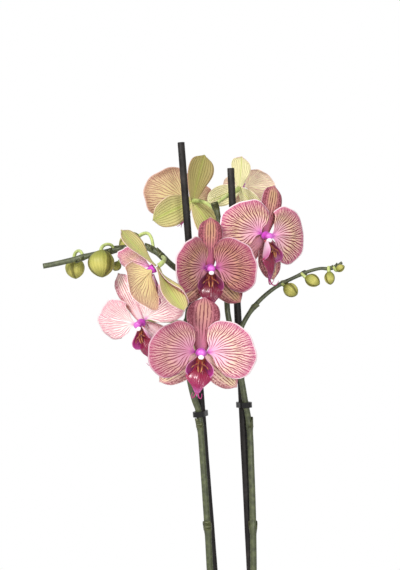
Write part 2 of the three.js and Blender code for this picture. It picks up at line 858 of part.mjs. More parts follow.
// at: the bud's middle; point: the way its tip looks; length and width; stalk: where its stalk
// leaves the spike; via: what the stalk heads for at first; bow: how far it carries on straight
// behind the bud.
const BUDS = [
  {
    name: "left_bud_1",
    at: [-137.6, 9, 373],
    point: [0.08, -0.1, -1],
    length: 18,
    width: 16.5,
    spike: "left",
    stalk: [-130.4, -3.6, 382.2],
    via: [-131, 0, 390],
    bow: 7,
  },
  {
    name: "left_bud_2",
    at: [-114.3, -13, 376.4],
    point: [0.04, -0.25, -1],
    length: 23,
    width: 22,
    spike: "left",
    stalk: [-105, -3.2, 387.4],
    via: [-103.6, -5, 394.5],
    bow: 7.5,
  },
  {
    name: "left_bud_3",
    at: [-102.6, 5, 374.6],
    point: [-0.5, 0.1, -0.8],
    length: 9,
    width: 7.4,
    spike: "left",
    stalk: [-95.5, -3.7, 388.8],
    via: [-95, 2, 388],
    bow: 5,
  },
  {
    name: "left_bud_4",
    at: [-88.4, 4, 372.8],
    point: [-0.2, 0.1, -0.95],
    length: 9.5,
    width: 8,
    spike: "left",
    stalk: [-86, -4.6, 390],
    via: [-86, 1, 390],
    bow: 5,
  },
  {
    name: "left_bud_5",
    at: [-92, 10, 394.6],
    point: [-0.75, 0.1, -0.5],
    length: 20,
    width: 17,
    spike: "left",
    stalk: [-71.6, -6, 388],
    via: [-73, -2, 401],
    bow: 10,
  },
  {
    name: "right_bud_1",
    at: [41.6, -10, 354.6],
    point: [0.72, -0.5, -0.5],
    length: 14,
    width: 11.6,
    spike: "branch",
    stalk: [34.5, -4, 360],
    via: [34.5, -5, 360.5],
    bow: 2,
  },
  {
    name: "right_bud_2",
    at: [59.6, -9.6, 362.6],
    point: [0.85, -0.3, -0.42],
    length: 13.6,
    width: 10.6,
    spike: "branch",
    stalk: [51, -3.4, 368.2],
    via: [51, -6, 368.6],
    bow: 2.5,
  },
  {
    name: "right_bud_3",
    at: [73.8, -8.6, 364.6],
    point: [0.1, -0.3, -1],
    length: 11.4,
    width: 8.8,
    spike: "branch",
    stalk: [73, -3, 372.4],
    via: [73.4, -4, 375],
    bow: 3.5,
  },
  {
    name: "right_bud_4",
    at: [82.4, -9.8, 372.8],
    point: [0.8, -0.2, 0.45],
    length: 8,
    width: 6.4,
    spike: "branch",
    stalk: [77.6, -3, 373.4],
    via: [77.6, -6, 373.4],
    bow: 1,
  },
];
// A bud's half width along its length, from its stalk to its tip.
const BUD_OUTLINE = [
  [0, 0.0],
  [0.06, 0.42],
  [0.25, 0.86],
  [0.48, 1],
  [0.75, 0.8],
  [0.93, 0.36],
  [1, 0],
];

function budAxis({ at, point }) {
  const middle = aboveBark(...at);
  const axis = V(...point).normalize();
  return { middle, axis };
}

function bud(spec) {
  const { middle, axis } = budAxis(spec);
  const profile = BUD_OUTLINE.map(
    ([t, w]) => new THREE.Vector2((w * spec.width) / 2, (t - 0.5) * spec.length),
  );
  const geometry = new THREE.LatheGeometry(profile, 9);
  const turn = new THREE.Quaternion().setFromUnitVectors(V(0, 1, 0), axis);
  geometry.applyQuaternion(turn).translate(middle.x, middle.y, middle.z);
  return named(spec.name, "bud", geometry);
}

function budStalk(spec) {
  const { middle, axis } = budAxis(spec);
  const end = middle.clone().addScaledVector(axis, -(spec.length / 2 + CLEARANCE));
  const curve = new THREE.CubicBezierCurve3(
    aboveBark(...spec.stalk),
    aboveBark(...spec.via),
    end.clone().addScaledVector(axis, -spec.bow),
    end,
  );
  const steps = THREE.MathUtils.clamp(Math.round(curve.getLength() / 3), 2, 8); // about 3 mm each
  return rod(curve, () => BUD_STALK_RADIUS, 5, steps);
}

// ---------------------------------------------------------------- spikes with their stalks

function spike(name, key, points, low, high, steps) {
  const stem = rod(curveThrough(points), (t) => mix(low, high, t), 7, steps);
  const stalks = [
    ...FLOWERS.filter((f) => f.spike === key).map(flowerStalk),
    ...BUDS.filter((b) => b.spike === key).map(budStalk),
  ];
  return named(name, "spike", joined([stem, ...stalks]));
}

// ---------------------------------------------------------------- the whole plant

const orchid = new THREE.Group();
orchid.add(
  pot(),
  bark([
    crownGeometry(CLEARANCE),
    stakeGeometry("left", STAKE_RADIUS + CLEARANCE),
    stakeGeometry("right", STAKE_RADIUS + CLEARANCE),
    ...Object.keys(ROOTS).map((name) => rootGeometry(name, CLEARANCE)),
  ]),
  named("crown", "crown", crownGeometry(0)),
  named("stake_left", "stake", stakeGeometry("left", STAKE_RADIUS)),
  named("stake_right", "stake", stakeGeometry("right", STAKE_RADIUS)),
  ...LEAVES.map(leaf),
  ...Object.keys(ROOTS).map((name) => named(name, "root", rootGeometry(name, 0))),
  spike("spike_left", "left", LEFT_SPIKE, SPIKE_RADIUS_LOW, SPIKE_RADIUS_HIGH, 48),
  spike("spike_right", "right", RIGHT_SPIKE, SPIKE_RADIUS_LOW, SPIKE_RADIUS_HIGH, 26),
  spike("side_branch", "branch", SIDE_BRANCH, BRANCH_RADIUS_LOW, BRANCH_RADIUS_HIGH, 16),
  ...Object.keys(CLIPS).map(clip),
  ...FLOWERS.map(flower),
  ...BUDS.map(bud),
);

export default orchid;
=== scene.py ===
# %% [markdown]
# # A potted moth orchid
#
# The packed model gives every piece its place. This script keeps those places and makes the
# surfaces that a person would look at: thin veined petals, a carved lip, ribbed buds, waxy
# leaves, bark and glaze. Everything is in metres, but the plant's own sizes are easier to read
# in millimetres, so tables are in millimetres and are turned into metres where meshes are made.

# %% Load the frame
from math import cos, pi, radians, sin, sqrt
import bpy
import numpy as np
from mathutils import Matrix, Vector


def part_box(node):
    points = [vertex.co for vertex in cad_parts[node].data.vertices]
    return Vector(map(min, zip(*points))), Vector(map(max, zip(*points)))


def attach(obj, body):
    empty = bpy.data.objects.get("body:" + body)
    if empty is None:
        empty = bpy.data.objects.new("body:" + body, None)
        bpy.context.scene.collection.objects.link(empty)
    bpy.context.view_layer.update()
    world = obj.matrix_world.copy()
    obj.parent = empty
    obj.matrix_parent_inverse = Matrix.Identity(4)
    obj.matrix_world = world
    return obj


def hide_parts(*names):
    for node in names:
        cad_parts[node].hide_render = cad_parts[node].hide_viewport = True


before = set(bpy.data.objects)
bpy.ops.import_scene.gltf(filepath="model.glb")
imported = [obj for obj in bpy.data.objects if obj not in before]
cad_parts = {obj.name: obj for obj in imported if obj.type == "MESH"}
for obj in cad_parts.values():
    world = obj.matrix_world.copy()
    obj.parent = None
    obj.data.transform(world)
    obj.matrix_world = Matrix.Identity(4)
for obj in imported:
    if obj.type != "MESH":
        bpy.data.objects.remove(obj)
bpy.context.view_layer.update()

MM = 0.001
ROOT = "root"

# %% [markdown]
# ## Small tools
#
# Most surfaces here are grids: a function turns u (along) and v (across), both from 0 to 1,
# into points. A grid becomes a closed thin shell with a front, a back and a rim, so a petal can
# have one material in front and another behind, as real ones do.

# %% Colours and grids
rng = np.random.default_rng(7)


def rgb(code):
    """A six-figure colour code, as the four linear values that nodes take."""
    seen = np.array([int(code[i : i + 2], 16) for i in (0, 2, 4)]) / 255
    linear = np.where(seen <= 0.04045, seen / 12.92, ((seen + 0.055) / 1.055) ** 2.4)
    return (*linear.tolist(), 1.0)


def smoothstep(value, low, high):
    t = np.clip((np.asarray(value, float) - low) / (high - low), 0, 1)
    return t * t * (3 - 2 * t)


def uv_grid(nu, nv):
    return np.meshgrid(np.linspace(0, 1, nu), np.linspace(0, 1, nv), indexing="ij")


def along_knots(knots, place):
    """Reads a smooth value off a short list of (place, value) knots."""
    at, value = np.array(knots, float).T
    place = np.asarray(place, float)
    i = np.clip(np.searchsorted(at, place, side="right") - 1, 0, len(at) - 2)
    before = np.maximum(i - 1, 0)
    after = np.minimum(i + 2, len(at) - 1)
    slope_in = (value[i + 1] - value[before]) / (at[i + 1] - at[before])
    slope_out = (value[after] - value[i]) / (at[after] - at[i])
    width = at[i + 1] - at[i]
    t = (place - at[i]) / width
    step = 3 * t**2 - 2 * t**3
    bend_in = t * (1 - t) ** 2 * slope_in * width
    bend_out = t**2 * (1 - t) * slope_out * width
    return value[i] + (value[i + 1] - value[i]) * step + bend_in - bend_out


print("a smooth step, a quarter of the way along:", float(smoothstep(0.25, 0, 1)))


# %% Curves
def smooth_path(points, steps):
    """A centripetal Catmull-Rom curve through points, in equal steps of its parameter."""
    p = np.array(points, float)
    p = np.vstack([2 * p[0] - p[1], p, 2 * p[-1] - p[-2]])
    gap = np.maximum(np.linalg.norm(np.diff(p, axis=0), axis=1) ** 0.5, 1e-4)[:, None]
    out = []
    for t in np.linspace(0, len(points) - 1, steps + 1):
        i = min(int(t), len(points) - 2)
        t -= i
        a, b, c, d = p[i : i + 4]
        ga, gb, gc = gap[i : i + 3]
        m0 = ((b - a) / ga - (c - a) / (ga + gb) + (c - b) / gb) * gb
        m1 = ((c - b) / gb - (d - b) / (gb + gc) + (d - c) / gc) * gb
        h = 3 * t**2 - 2 * t**3
        out.append(b + (c - b) * h + m0 * t * (1 - t) ** 2 - m1 * t**2 * (1 - t))
    return np.array(out)


def bezier(a, b, c, d, steps):
    t = np.linspace(0, 1, steps + 1)[:, None]
    a, b, c, d = (np.array(p, float) for p in (a, b, c, d))
    return a * (1 - t) ** 3 + 3 * b * t * (1 - t) ** 2 + 3 * c * t**2 * (1 - t) + d * t**3


def even_steps(path, steps):
    """The same path, resampled in steps of equal length."""
    length = np.concatenate([[0], np.cumsum(np.linalg.norm(np.diff(path, axis=0), axis=1))])
    places = np.linspace(0, length[-1], steps + 1)
    return np.stack([np.interp(places, length, path[:, k]) for k in range(3)], axis=1)


def frames_along(path):
    """A tangent and two steady sideways directions at each point of a path."""
    tangents = np.gradient(path, axis=0)
    tangents /= np.linalg.norm(tangents, axis=1)[:, None]
    start = np.array((0.0, 1.0, 0.0)) if abs(tangents[0][1]) < 0.9 else np.array((1.0, 0.0, 0.0))
    side = [start - tangents[0] * start.dot(tangents[0])]
    for t in tangents[1:]:
        carried = side[-1] - t * side[-1].dot(t)
        side.append(carried / np.linalg.norm(carried))
    side = np.array(side)
    side[0] /= np.linalg.norm(side[0])
    return tangents, side, np.cross(tangents, side)


arch = bezier((0, 0, 0), (0, 0, 10), (10, 0, 10), (10, 0, 0), 20)
print("the top of an arch:", arch[:, 2].max(), "mm")


# %% Building meshes
class Build:
    """Collects vertices, faces, UVs and material slots, and makes one object of them."""

    def __init__(self):
        self.points, self.faces, self.slots, self.uvs = [], [], [], []
        self.count = 0

    def add(self, points, faces, slots, uvs):
        """Adds a piece: points (n, 3) in mm, faces of point numbers, a slot and UVs per face."""
        self.points.append(np.asarray(points, float))
        self.faces += [tuple(int(k) + self.count for k in face) for face in faces]
        self.slots += list(slots)
        self.uvs += [tuple(uv) for face in uvs for uv in face]
        self.count += len(points)

    def sheet(self, grid, thickness, front=0, back=1, look=None):
        """A thin closed shell about a grid of points (nu, nv, 3). look is where its front faces."""
        nu, nv = grid.shape[:2]
        along, across = np.gradient(grid, axis=0), np.gradient(grid, axis=1)
        normal = np.cross(along, across)
        normal /= np.maximum(np.linalg.norm(normal, axis=2), 1e-9)[..., None]
        flip = look is not None and (normal @ np.asarray(look, float)).mean() < 0
        if flip:
            normal = -normal
        half = np.broadcast_to(thickness, (nu, nv))[..., None] / 2
        layers = np.concatenate([(grid + normal * half).reshape(-1, 3),
            (grid - normal * half).reshape(-1, 3)])
        u, v = uv_grid(nu, nv)
        flat_uv = np.stack([u.ravel(), v.ravel()], axis=1)
        flat_uv = np.concatenate([flat_uv, flat_uv])
        k = (np.arange(nu - 1)[:, None] * nv + np.arange(nv - 1)).ravel()
        quads = np.stack([k, k + nv, k + nv + 1, k + 1], axis=1)
        if flip:
            quads = quads[:, ::-1]
        back_quads = quads[:, ::-1] + nu * nv
        loop = np.concatenate([np.arange(nv), nv - 1 + nv * np.arange(1, nu),
            nu * nv - 2 - np.arange(nv - 1), nv * np.arange(nu - 2, 0, -1)])
        after = np.roll(loop, -1)
        rim = np.stack([loop, after, after + nu * nv, loop + nu * nv], axis=1)
        if flip:
            rim = rim[:, ::-1]
        faces = np.concatenate([quads, back_quads, rim])
        slots = [front] * len(quads) + [back] * len(quads) + [front] * len(rim)
        self.add(layers, faces, slots, flat_uv[faces])

    def tube(self, path, radius, sides=12, slot=0):
        """A closed round rod along a path, its radius a number or one value for each point."""
        radius = np.broadcast_to(radius, len(path))
        _, side, up = frames_along(path)
        angle = np.linspace(0, 2 * pi, sides, endpoint=False)
        ring = (np.cos(angle)[None, :, None] * side[:, None]
                + np.sin(angle)[None, :, None] * up[:, None])
        points = (path[:, None] + ring * radius[:, None, None]).reshape(-1, 3)
        n = len(path)
        i, j = np.meshgrid(np.arange(n - 1), np.arange(sides), indexing="ij")
        a = (i * sides + j).ravel()
        b = (i * sides + (j + 1) % sides).ravel()
        faces = [tuple(f) for f in np.stack([a, b, b + sides, a + sides], axis=1)]
        faces.append(tuple(range(sides))[::-1])
        faces.append(tuple((n - 1) * sides + np.arange(sides)))
        place = [(k // sides / (n - 1), (k % sides) / sides) for k in range(n * sides)]
        uvs = [[(place[k][0], place[k][1] + (1 if place[k][1] == 0 and max(place[m][1] for m in f)
                > 0.75 else 0)) for k in f] for f in faces]
        self.add(points, faces, [slot] * len(faces), uvs)

    def turned(self, profile, sides, slot=0, move=None, wobble=None):
        """A closed solid of revolution about Z. profile runs from the axis back to the axis."""
        profile = np.array(profile, float)
        angle = np.linspace(0, 2 * pi, sides, endpoint=False)
        rings = profile[1:-1]
        radius = np.repeat(rings[:, :1], sides, axis=1)
        if wobble is not None:
            radius = radius * wobble(np.linspace(0, 1, len(rings))[:, None], angle[None])
        ring = np.stack([radius * np.cos(angle), radius * np.sin(angle),
            np.repeat(rings[:, 1:2], sides, axis=1)], axis=2).reshape(-1, 3)
        points = np.vstack([[0, 0, profile[0][1]], ring, [0, 0, profile[-1][1]]])
        if move is not None:
            points = move(points)
        n = len(rings)
        faces, uvs = [], []
        for j in range(sides):
            k = (j + 1) % sides
            edge = (j / sides, (j + 1) / sides)
            faces.append((0, 1 + k, 1 + j))
            uvs.append(((0, edge[0]), (0, edge[1]), (0, edge[0])))
            for i in range(n - 1):
                low, high = 1 + i * sides, 1 + (i + 1) * sides
                faces.append((low + j, low + k, high + k, high + j))
                a, b = i / (n - 1), (i + 1) / (n - 1)
                uvs.append(((a, edge[0]), (a, edge[1]), (b, edge[1]), (b, edge[0])))
            last = 1 + (n - 1) * sides
            faces.append((last + j, last + k, len(points) - 1))
            uvs.append(((1, edge[0]), (1, edge[1]), (1, edge[0])))
        self.add(points, faces, [slot] * len(faces), uvs)

    def moved(self, change):
        """Moves every point gathered so far."""
        self.points = [change(p) for p in self.points]
        return self

    def object(self, name, materials, slot, replaces=(), **values):
        """Makes the object in metres. values become attributes that the materials read."""
        mesh = bpy.data.meshes.new(name)
        mesh.from_pydata((np.vstack(self.points) * MM).tolist(), [], self.faces)
        for material in materials:
            mesh.materials.append(material)
        mesh.polygons.foreach_set("material_index", self.slots)
        mesh.polygons.foreach_set("use_smooth", [True] * len(self.faces))
        layer = mesh.uv_layers.new(name="Along")
        layer.data.foreach_set("uv", np.array(self.uvs, float).ravel())
        for key, value in values.items():
            attribute = mesh.attributes.new(key, "FLOAT", "POINT")
            attribute.data.foreach_set("value", [float(value)] * len(mesh.vertices))
        mesh.update()
        obj = bpy.data.objects.new(name, mesh)
        bpy.context.scene.collection.objects.link(obj)
        if slot:
            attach(obj, ROOT)
        if replaces:
            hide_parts(*replaces)
        return obj


print("mesh tools:", [name for name in vars(Build) if name[0] != "_"])

# %% [markdown]
# ## Materials
#
# Every material is procedural, so that it needs no image files. Node graphs could be clicked
# together, but a script that adds nodes one by one is hard to read. This short class keeps them
# readable: each method adds one node and hands back its output, and sums are written as sums.

# %% A short way to write node graphs
# What a fully shaded petal's colour is multiplied by, in front and behind.
PAINTED_SHADE_TINT, PAINTED_SHADE_TINT_BACK = (0.51, 0.29, 0.36, 1.0), (0.5, 0.43, 0.33, 1.0)


class Wire:
    """A node's output. Arithmetic on it adds Math nodes."""

    def __init__(self, shader, socket):
        self.shader, self.socket = shader, socket

    def __add__(self, other):
        return self.shader.math("ADD", self, other)

    def __sub__(self, other):
        return self.shader.math("SUBTRACT", self, other)

    def __mul__(self, other):
        return self.shader.math("MULTIPLY", self, other)

    def __abs__(self):
        return self.shader.math("ABSOLUTE", self)


class Shader:
    def __init__(self, name):
        self.material = bpy.data.materials.new(name)
        self.material.use_nodes = True
        self.tree = self.material.node_tree
        self.tree.nodes.clear()

    def node(self, kind, inputs=(), **settings):
        node = self.tree.nodes.new(kind)
        for key, value in settings.items():
            setattr(node, key, value)
        for key, value in dict(inputs).items():
            self.put(node.inputs[key], value)
        return node

    def wire(self, node, output=0):
        return Wire(self, node.outputs[output])

    def put(self, socket, value):
        value = value.socket if isinstance(value, Wire) else value
        value = rgb(value) if isinstance(value, str) else value
        if isinstance(value, bpy.types.NodeSocket):
            self.tree.links.new(value, socket)
        elif value is not None:
            socket.default_value = value

    def math(self, operation, a, b=None, clamp=False):
        return self.wire(self.node("ShaderNodeMath", {0: a, 1: b}, operation=operation,
            use_clamp=clamp))

    def ease(self, value, low, high, start=0.0, end=1.0):
        """A smooth step: start below low, end above high."""
        inputs = {"Value": value, "From Min": low, "From Max": high, "To Min": start, "To Max": end}
        return self.wire(self.node("ShaderNodeMapRange", inputs, interpolation_type="SMOOTHSTEP"))

    def mix(self, share, a, b, blend="MIX"):
        node = self.node("ShaderNodeMix", data_type="RGBA", blend_type=blend)
        for index, value in ((0, share), (6, a), (7, b)):
            self.put(node.inputs[index], value)
        return self.wire(node, 2)

    def ramp(self, value, stops):
        node = self.node("ShaderNodeValToRGB", {"Fac": value})
        elements = node.color_ramp.elements
        while len(elements) < len(stops):
            elements.new(0.5)
        for element, (place, colour) in zip(elements, stops.items()):
            element.position, element.color = place, rgb(colour)
        return self.wire(node)

    def noise(self, vector, scale, detail=2.0, rough=0.5):
        inputs = {"Vector": vector, "Scale": scale, "Detail": detail, "Roughness": rough}
        return self.wire(self.node("ShaderNodeTexNoise", inputs))

    def grain(self, scale, detail=2.0, rough=0.5):
        return self.noise(self.place(), scale, detail, rough)

    def cells(self, vector):
        """The distance to the nearest wall of a net of random cells."""
        inputs = {"Vector": vector, "Scale": 1.0}
        return self.wire(self.node("ShaderNodeTexVoronoi", inputs, feature="DISTANCE_TO_EDGE"))

    def uv(self):
        split = self.node("ShaderNodeSeparateXYZ", {0: self.node("ShaderNodeUVMap").outputs[0]})
        return self.wire(split), self.wire(split, 1)

    def vector(self, x, y, z=0.0):
        return self.wire(self.node("ShaderNodeCombineXYZ", {0: x, 1: y, 2: z}))

    def place(self):
        return self.wire(self.node("ShaderNodeTexCoord"), "Object")

    def value(self, name):
        return self.wire(self.node("ShaderNodeAttribute", attribute_name=name), "Fac")

    # Painted shade: darkens a colour by the object's own share of shade.
    def with_painted_shade(self, colour, shade=PAINTED_SHADE_TINT):
        return self.mix(self.value("deep"), colour, shade, "MULTIPLY")

    def line(self, across, count, width_mm, low, high):
        """Stripes: count of them across 0 to 1, where the whole width is width_mm wide."""
        away = self.math("FRACT", across * count) - 0.5
        away = abs(away) * (width_mm * (1 / count))
        return self.ease(away, low, high, 1, 0)

    def finish(self, colour, roughness=0.5, bump=None, depth=0.0002, through=0.0, glow=None,
        sheen=0.0, coat=0.0, specular=0.5):
        principled = self.node("ShaderNodeBsdfPrincipled",
            {"Base Color": colour, "Roughness": roughness, "Sheen Weight": sheen,
            "Coat Weight": coat, "Coat Roughness": 0.15, "Specular IOR Level": specular})
        if bump is not None:
            bumped = self.node("ShaderNodeBump", {"Height": bump, "Distance": depth})
            self.put(principled.inputs["Normal"], bumped.outputs[0])
        surface = principled.outputs[0]
        if through:
            glow = colour if glow is None else glow
            light = self.node("ShaderNodeBsdfTranslucent", {"Color": glow}).outputs[0]
            surface = self.node("ShaderNodeMixShader",
                {0: through, 1: surface, 2: light}).outputs[0]
        self.node("ShaderNodeOutputMaterial", {"Surface": surface})
        return self.material


print("shader tools:", [name for name in vars(Shader) if name[0] != "_"])

# %% [markdown]
# ## Petals and sepals
#
# A moth orchid's petals are pale cream and rose with dark forking veins and a white hem. The
# veins could be painted on an image, but an image has to fit each petal. Here they are stripes
# counted across a petal and bent by noise, so that each level of finer veins starts further out.
# Each object's own numbers say how pale, dusky and spotted it is, and how much painted shade
# darkens it. The pale tint is partly painted light, and the dusky tint partly painted shade.

# %% Petal materials
# How far it is across a petal and a sepal at their widest, in mm.
PETAL_WIDTH, SEPAL_WIDTH = 96, 25


def fanned_veins(sh, u, v, arc_mm, levels, seed=0.0):
    """Veins that fan out with u and fork on the way to the margin, as a 0 to 1 mask."""
    slow = sh.noise(sh.vector(u * 2.2, v * 5.0, seed), 1, 1)
    quick = sh.noise(sh.vector(u * 11.0, v * 26.0, seed + 4.0), 1, 2)
    v = v + (slow - 0.5) * 0.085
    v = v + (quick - 0.5) * sh.ease(u, 0.3, 0.9, 0.016, 0.028)
    width = sh.math("MAXIMUM", u, 0.08) * arc_mm
    fine = sh.ease(u, 0.15, 0.6, 1.9, 1)
    mask = None
    for count, shift, start, low, high in levels:
        late = sh.noise(sh.vector(v * (count * 0.9), seed + count + shift), 1, 0)
        begun = u + (late - 0.5) * 0.42
        lines = sh.line(v + shift / count, count, width * fine, low, high)
        lines = lines * sh.ease(begun, start - 0.05, start + 0.1)
        mask = lines if mask is None else sh.math("MAXIMUM", mask, lines)
    return mask, v


def petal_front():
    sh = Shader("petal_front")
    u, v = sh.uv()
    pale, dusk = sh.value("pale"), sh.value("dusk")
    veins, v_wander = fanned_veins(sh, u, v, PETAL_WIDTH,
        ((10, 0, 0.18, 0.34, 0.78), (10, 0.5, 0.32, 0.32, 0.76), (20, 0, 0.6, 0.2, 0.6),
        (40, 0, 0.86, 0.06, 0.4)))
    cells = sh.cells(sh.vector(u * 22.0, v_wander * 54.0))
    net = sh.ease(cells, 0.03, 0.2, 1, 0) * sh.ease(u, 0.8, 0.98, 0, 0.5)
    veins = sh.math("MAXIMUM", veins, net)
    blotch = sh.noise(sh.vector(u * 3.0, v * 5.0, 3.7), 1, 3)
    place = u + (blotch - 0.5) * 0.2
    base = sh.ramp(place, {0.0: "BA2CBA", 0.06: "D668C8", 0.15: "EE9ED4", 0.36: "F3C0D6",
        0.6: "F6D4B0", 0.82: "F3C4BE", 1.0: "EEA8C8"})
    # The dusky peach tint is partly the flower's own colour and partly painted shade, for the
    # flowers that lie in shade.
    base = sh.mix(dusk * sh.ease(u, 0.1, 0.3, 0, 0.62), base, "D0986C")
    # The pale tint is partly the flower's own colour and partly painted light, for the flowers that
    # are brightest in the light.
    base = sh.mix(pale * sh.ease(u, 0.02, 0.2, 0.25, 1), base, "FFEEEB")
    ink = sh.ramp(u, {0.2: "8C2C42", 0.6: "600E24", 0.85: "8C184C", 1.0: "BA3C7E"})
    ink = sh.mix(pale * 0.62, ink, "E46C9C")
    colour = sh.mix(veins * (pale * -0.2 + 0.98), base, ink)
    wavy_edge = u + (blotch - 0.5) * 0.02
    colour = sh.mix(sh.ease(wavy_edge, 0.964, 0.98, 0, 0.95), colour, "FDF2F6")
    # Painted shade, as much as the petal's own number says.
    colour = sh.with_painted_shade(colour)
    height = veins * -0.7 + sh.grain(900, 2)
    return sh.finish(colour, 0.5, height, 0.00015, 0.24, sh.mix(0.35, colour, "F496AA"), sheen=0.15,
        specular=0.4)


def petal_back():
    sh = Shader("petal_back")
    u, v = sh.uv()
    veins, _ = fanned_veins(sh, u, v, PETAL_WIDTH,
        ((9, 0, 0.1, 0.24, 0.66), (9, 0.5, 0.34, 0.2, 0.6), (18, 0, 0.6, 0.16, 0.54),
        (36, 0, 0.84, 0.06, 0.38)), 1.3)
    base = sh.ramp(u, {0.0: "CECC82", 0.2: "E6D68E", 0.6: "E8D294", 0.86: "E6C498", 1.0: "E0A690"})
    # The pale tint is partly the flower's own colour and partly painted light.
    base = sh.mix(sh.value("pale"), base, "FFFDD6")
    ink = sh.mix(sh.value("pale"), "965842", "CE8CA8")
    colour = sh.mix(veins * 0.78, base, ink)
    colour = sh.mix(sh.ease(u, 0.97, 0.985, 0, 0.6), colour, "F8DED8")
    # Painted shade, as much as the petal's own number says.
    colour = sh.with_painted_shade(colour, PAINTED_SHADE_TINT_BACK)
    return sh.finish(colour, 0.52, veins, 0.0001, 0.26, sh.mix(0.4, colour, "FAE2A0"), sheen=0.1,
        specular=0.35)


PETAL = [petal_front(), petal_back()]
print("materials", [material.name for material in PETAL])


# %% Sepal materials
def sepal_front():
    sh = Shader("sepal_front")
    u, v = sh.uv()
    pale, spots = sh.value("pale"), sh.value("spots")
    side = abs(v - 0.5)
    slow = sh.noise(sh.vector(u * 3.0, v * 4.0, 8), 1, 2)
    quick = sh.noise(sh.vector(u * 14.0, v * 12.0, 2), 1, 2)
    across = v + (slow - 0.5) * 0.08
    across = across + (quick - 0.5) * 0.035
    broken = sh.noise(sh.vector(u * 26.0, v * 9.0, 5), 1, 1)
    lines = sh.line(across, 9, SEPAL_WIDTH, 0.22, 0.66) * sh.ease(u, 0.12, 0.42)
    lines = lines * sh.ease(broken - side * 0.5, 0.22, 0.36)
    cells = sh.cells(sh.vector(u * 28.0, across * 20.0))
    net = sh.ease(cells, 0.04, 0.22, 1, 0) * sh.ease(side, 0.2, 0.36, 0, 0.9)
    marks = sh.math("MAXIMUM", lines, net)
    base = sh.ramp(u, {0.0: "D65CC4", 0.14: "F08CBE", 0.34: "F2A0B6", 0.66: "F1D09E",
        0.84: "EAD294", 1.0: "EA96A8"})
    base = sh.mix(sh.ease(side, 0.1, 0.34, 0, 0.9), base, "E2809C")
    base = sh.mix(spots * sh.ease(u, 0.6, 0.95, 1, 0.1), base, "FAE4BE")
    # The pale tint is partly the flower's own colour and partly painted light.
    base = sh.mix(pale * 0.8, base, "FFECEE")
    ink = sh.mix(pale * 0.6, "680826", "DE608C")
    colour = sh.mix(marks * 0.95, base, ink)
    edge = sh.math("MAXIMUM", sh.ease(side, 0.47, 0.49), sh.ease(u, 0.97, 0.99))
    colour = sh.mix(edge * 0.8, colour, "FAE0E8")
    # Painted shade, as much as the sepal's own number says.
    colour = sh.with_painted_shade(colour)
    return sh.finish(colour, 0.5, marks, 0.00012, 0.24, sh.mix(0.4, colour, "EC96A0"), sheen=0.12,
        specular=0.4)


def sepal_back():
    sh = Shader("sepal_back")
    u, v = sh.uv()
    side = abs(v - 0.5)
    slow = sh.noise(sh.vector(u * 3.0, v * 4.0, 5), 1, 2)
    across = v + (slow - 0.5) * 0.06
    lines = sh.line(across, 11, SEPAL_WIDTH, 0.08, 0.5)
    base = sh.ramp(side, {0.0: "C6CC62", 0.2: "D0CA74", 0.38: "D8C87E", 0.5: "DEB686"})
    base = sh.mix(slow * 0.5, base, "B4B85A")
    # The pale tint is partly the flower's own colour and partly painted light, here for a backlit
    # sepal.
    base = sh.mix(sh.math("MULTIPLY", sh.value("pale"), 1.05, True), base, "FDFBC8")
    colour = sh.mix(lines * 0.6, base, "84783A")
    midrib = sh.ease(side, 0.01, 0.045, 1, 0)
    colour = sh.mix(midrib * 0.6, colour, "CEDE70")
    # Painted shade, as much as the sepal's own number says.
    colour = sh.with_painted_shade(colour, PAINTED_SHADE_TINT_BACK)
    glow = sh.mix(0.4, colour, "E2E282")
    return sh.finish(colour, 0.5, lines + midrib * -2.0, 0.00012, 0.24, glow, sheen=0.1,
        specular=0.4)


SEPAL = [sepal_front(), sepal_back()]
print("materials", [material.name for material in SEPAL])

# %% [markdown]
# ## Lip finishes
#
# The lip is waxy and wine red, darker than the petals, with a paler edge. One glossy finish
# could cover it all, but only its middle lobe shines. That lobe gets a thin coat, and the side
# lobes stay velvety, with more light passing through them.

# %% Lip and column materials
def lip_mid():
    sh = Shader("lip_mid")
    u, v = sh.uv()
    side = abs(v - 0.5)
    lines = sh.line(v + sh.grain(160) * 0.05, 15, 18, 0.1, 0.5)
    # Lighter mauve pink towards the tip: partly the lobe's own colour and partly a painted
    # highlight.
    base = sh.ramp(u, {0.0: "AA5A1E", 0.12: "78141E", 0.3: "80062C", 0.55: "8A063C", 0.8: "900C50",
        1.0: "C868B0"})
    colour = sh.mix(lines * 0.45, base, "600222")
    colour = sh.mix(sh.ease(side, 0.44, 0.5) * 0.45, colour, "D8548C")
    # Painted shade, as much as the lip's own number says.
    colour = sh.with_painted_shade(colour)
    soft = sh.grain(220, 1)
    return sh.finish(colour, 0.3, soft + lines * 0.5, 0.0003, 0.06, "BE145A", coat=0.25)


def lip_side(name, ramp):
    sh = Shader(name)
    u, v = sh.uv()
    lines = sh.line(v, 9, 10, 0.1, 0.5)
    base = sh.ramp(u, ramp)
    colour = sh.mix(lines * 0.3, base, "6E003C")
    side = abs(v - 0.5)
    edge = sh.math("MAXIMUM", sh.ease(side, 0.42, 0.49), sh.ease(u, 0.93, 0.99))
    colour = sh.mix(edge * 0.5, colour, "F0B0D2")
    # Painted shade, as much as the lip's own number says.
    colour = sh.with_painted_shade(colour)
    grain = sh.grain(1400, 3)
    return sh.finish(colour, 0.36, grain, 0.0001, 0.14, colour, sheen=0.2)


def flesh(name, stops, grain_scale, roughness, through=0.15):
    """Soft tissue that changes colour along u, with a fine grain."""
    sh = Shader(name)
    u, _ = sh.uv()
    soft = sh.grain(grain_scale, 3)
    place = u + (soft - 0.5) * 0.2
    colour = sh.ramp(place, stops)
    return sh.finish(colour, roughness, soft, 0.00015, through, colour, sheen=0.1)


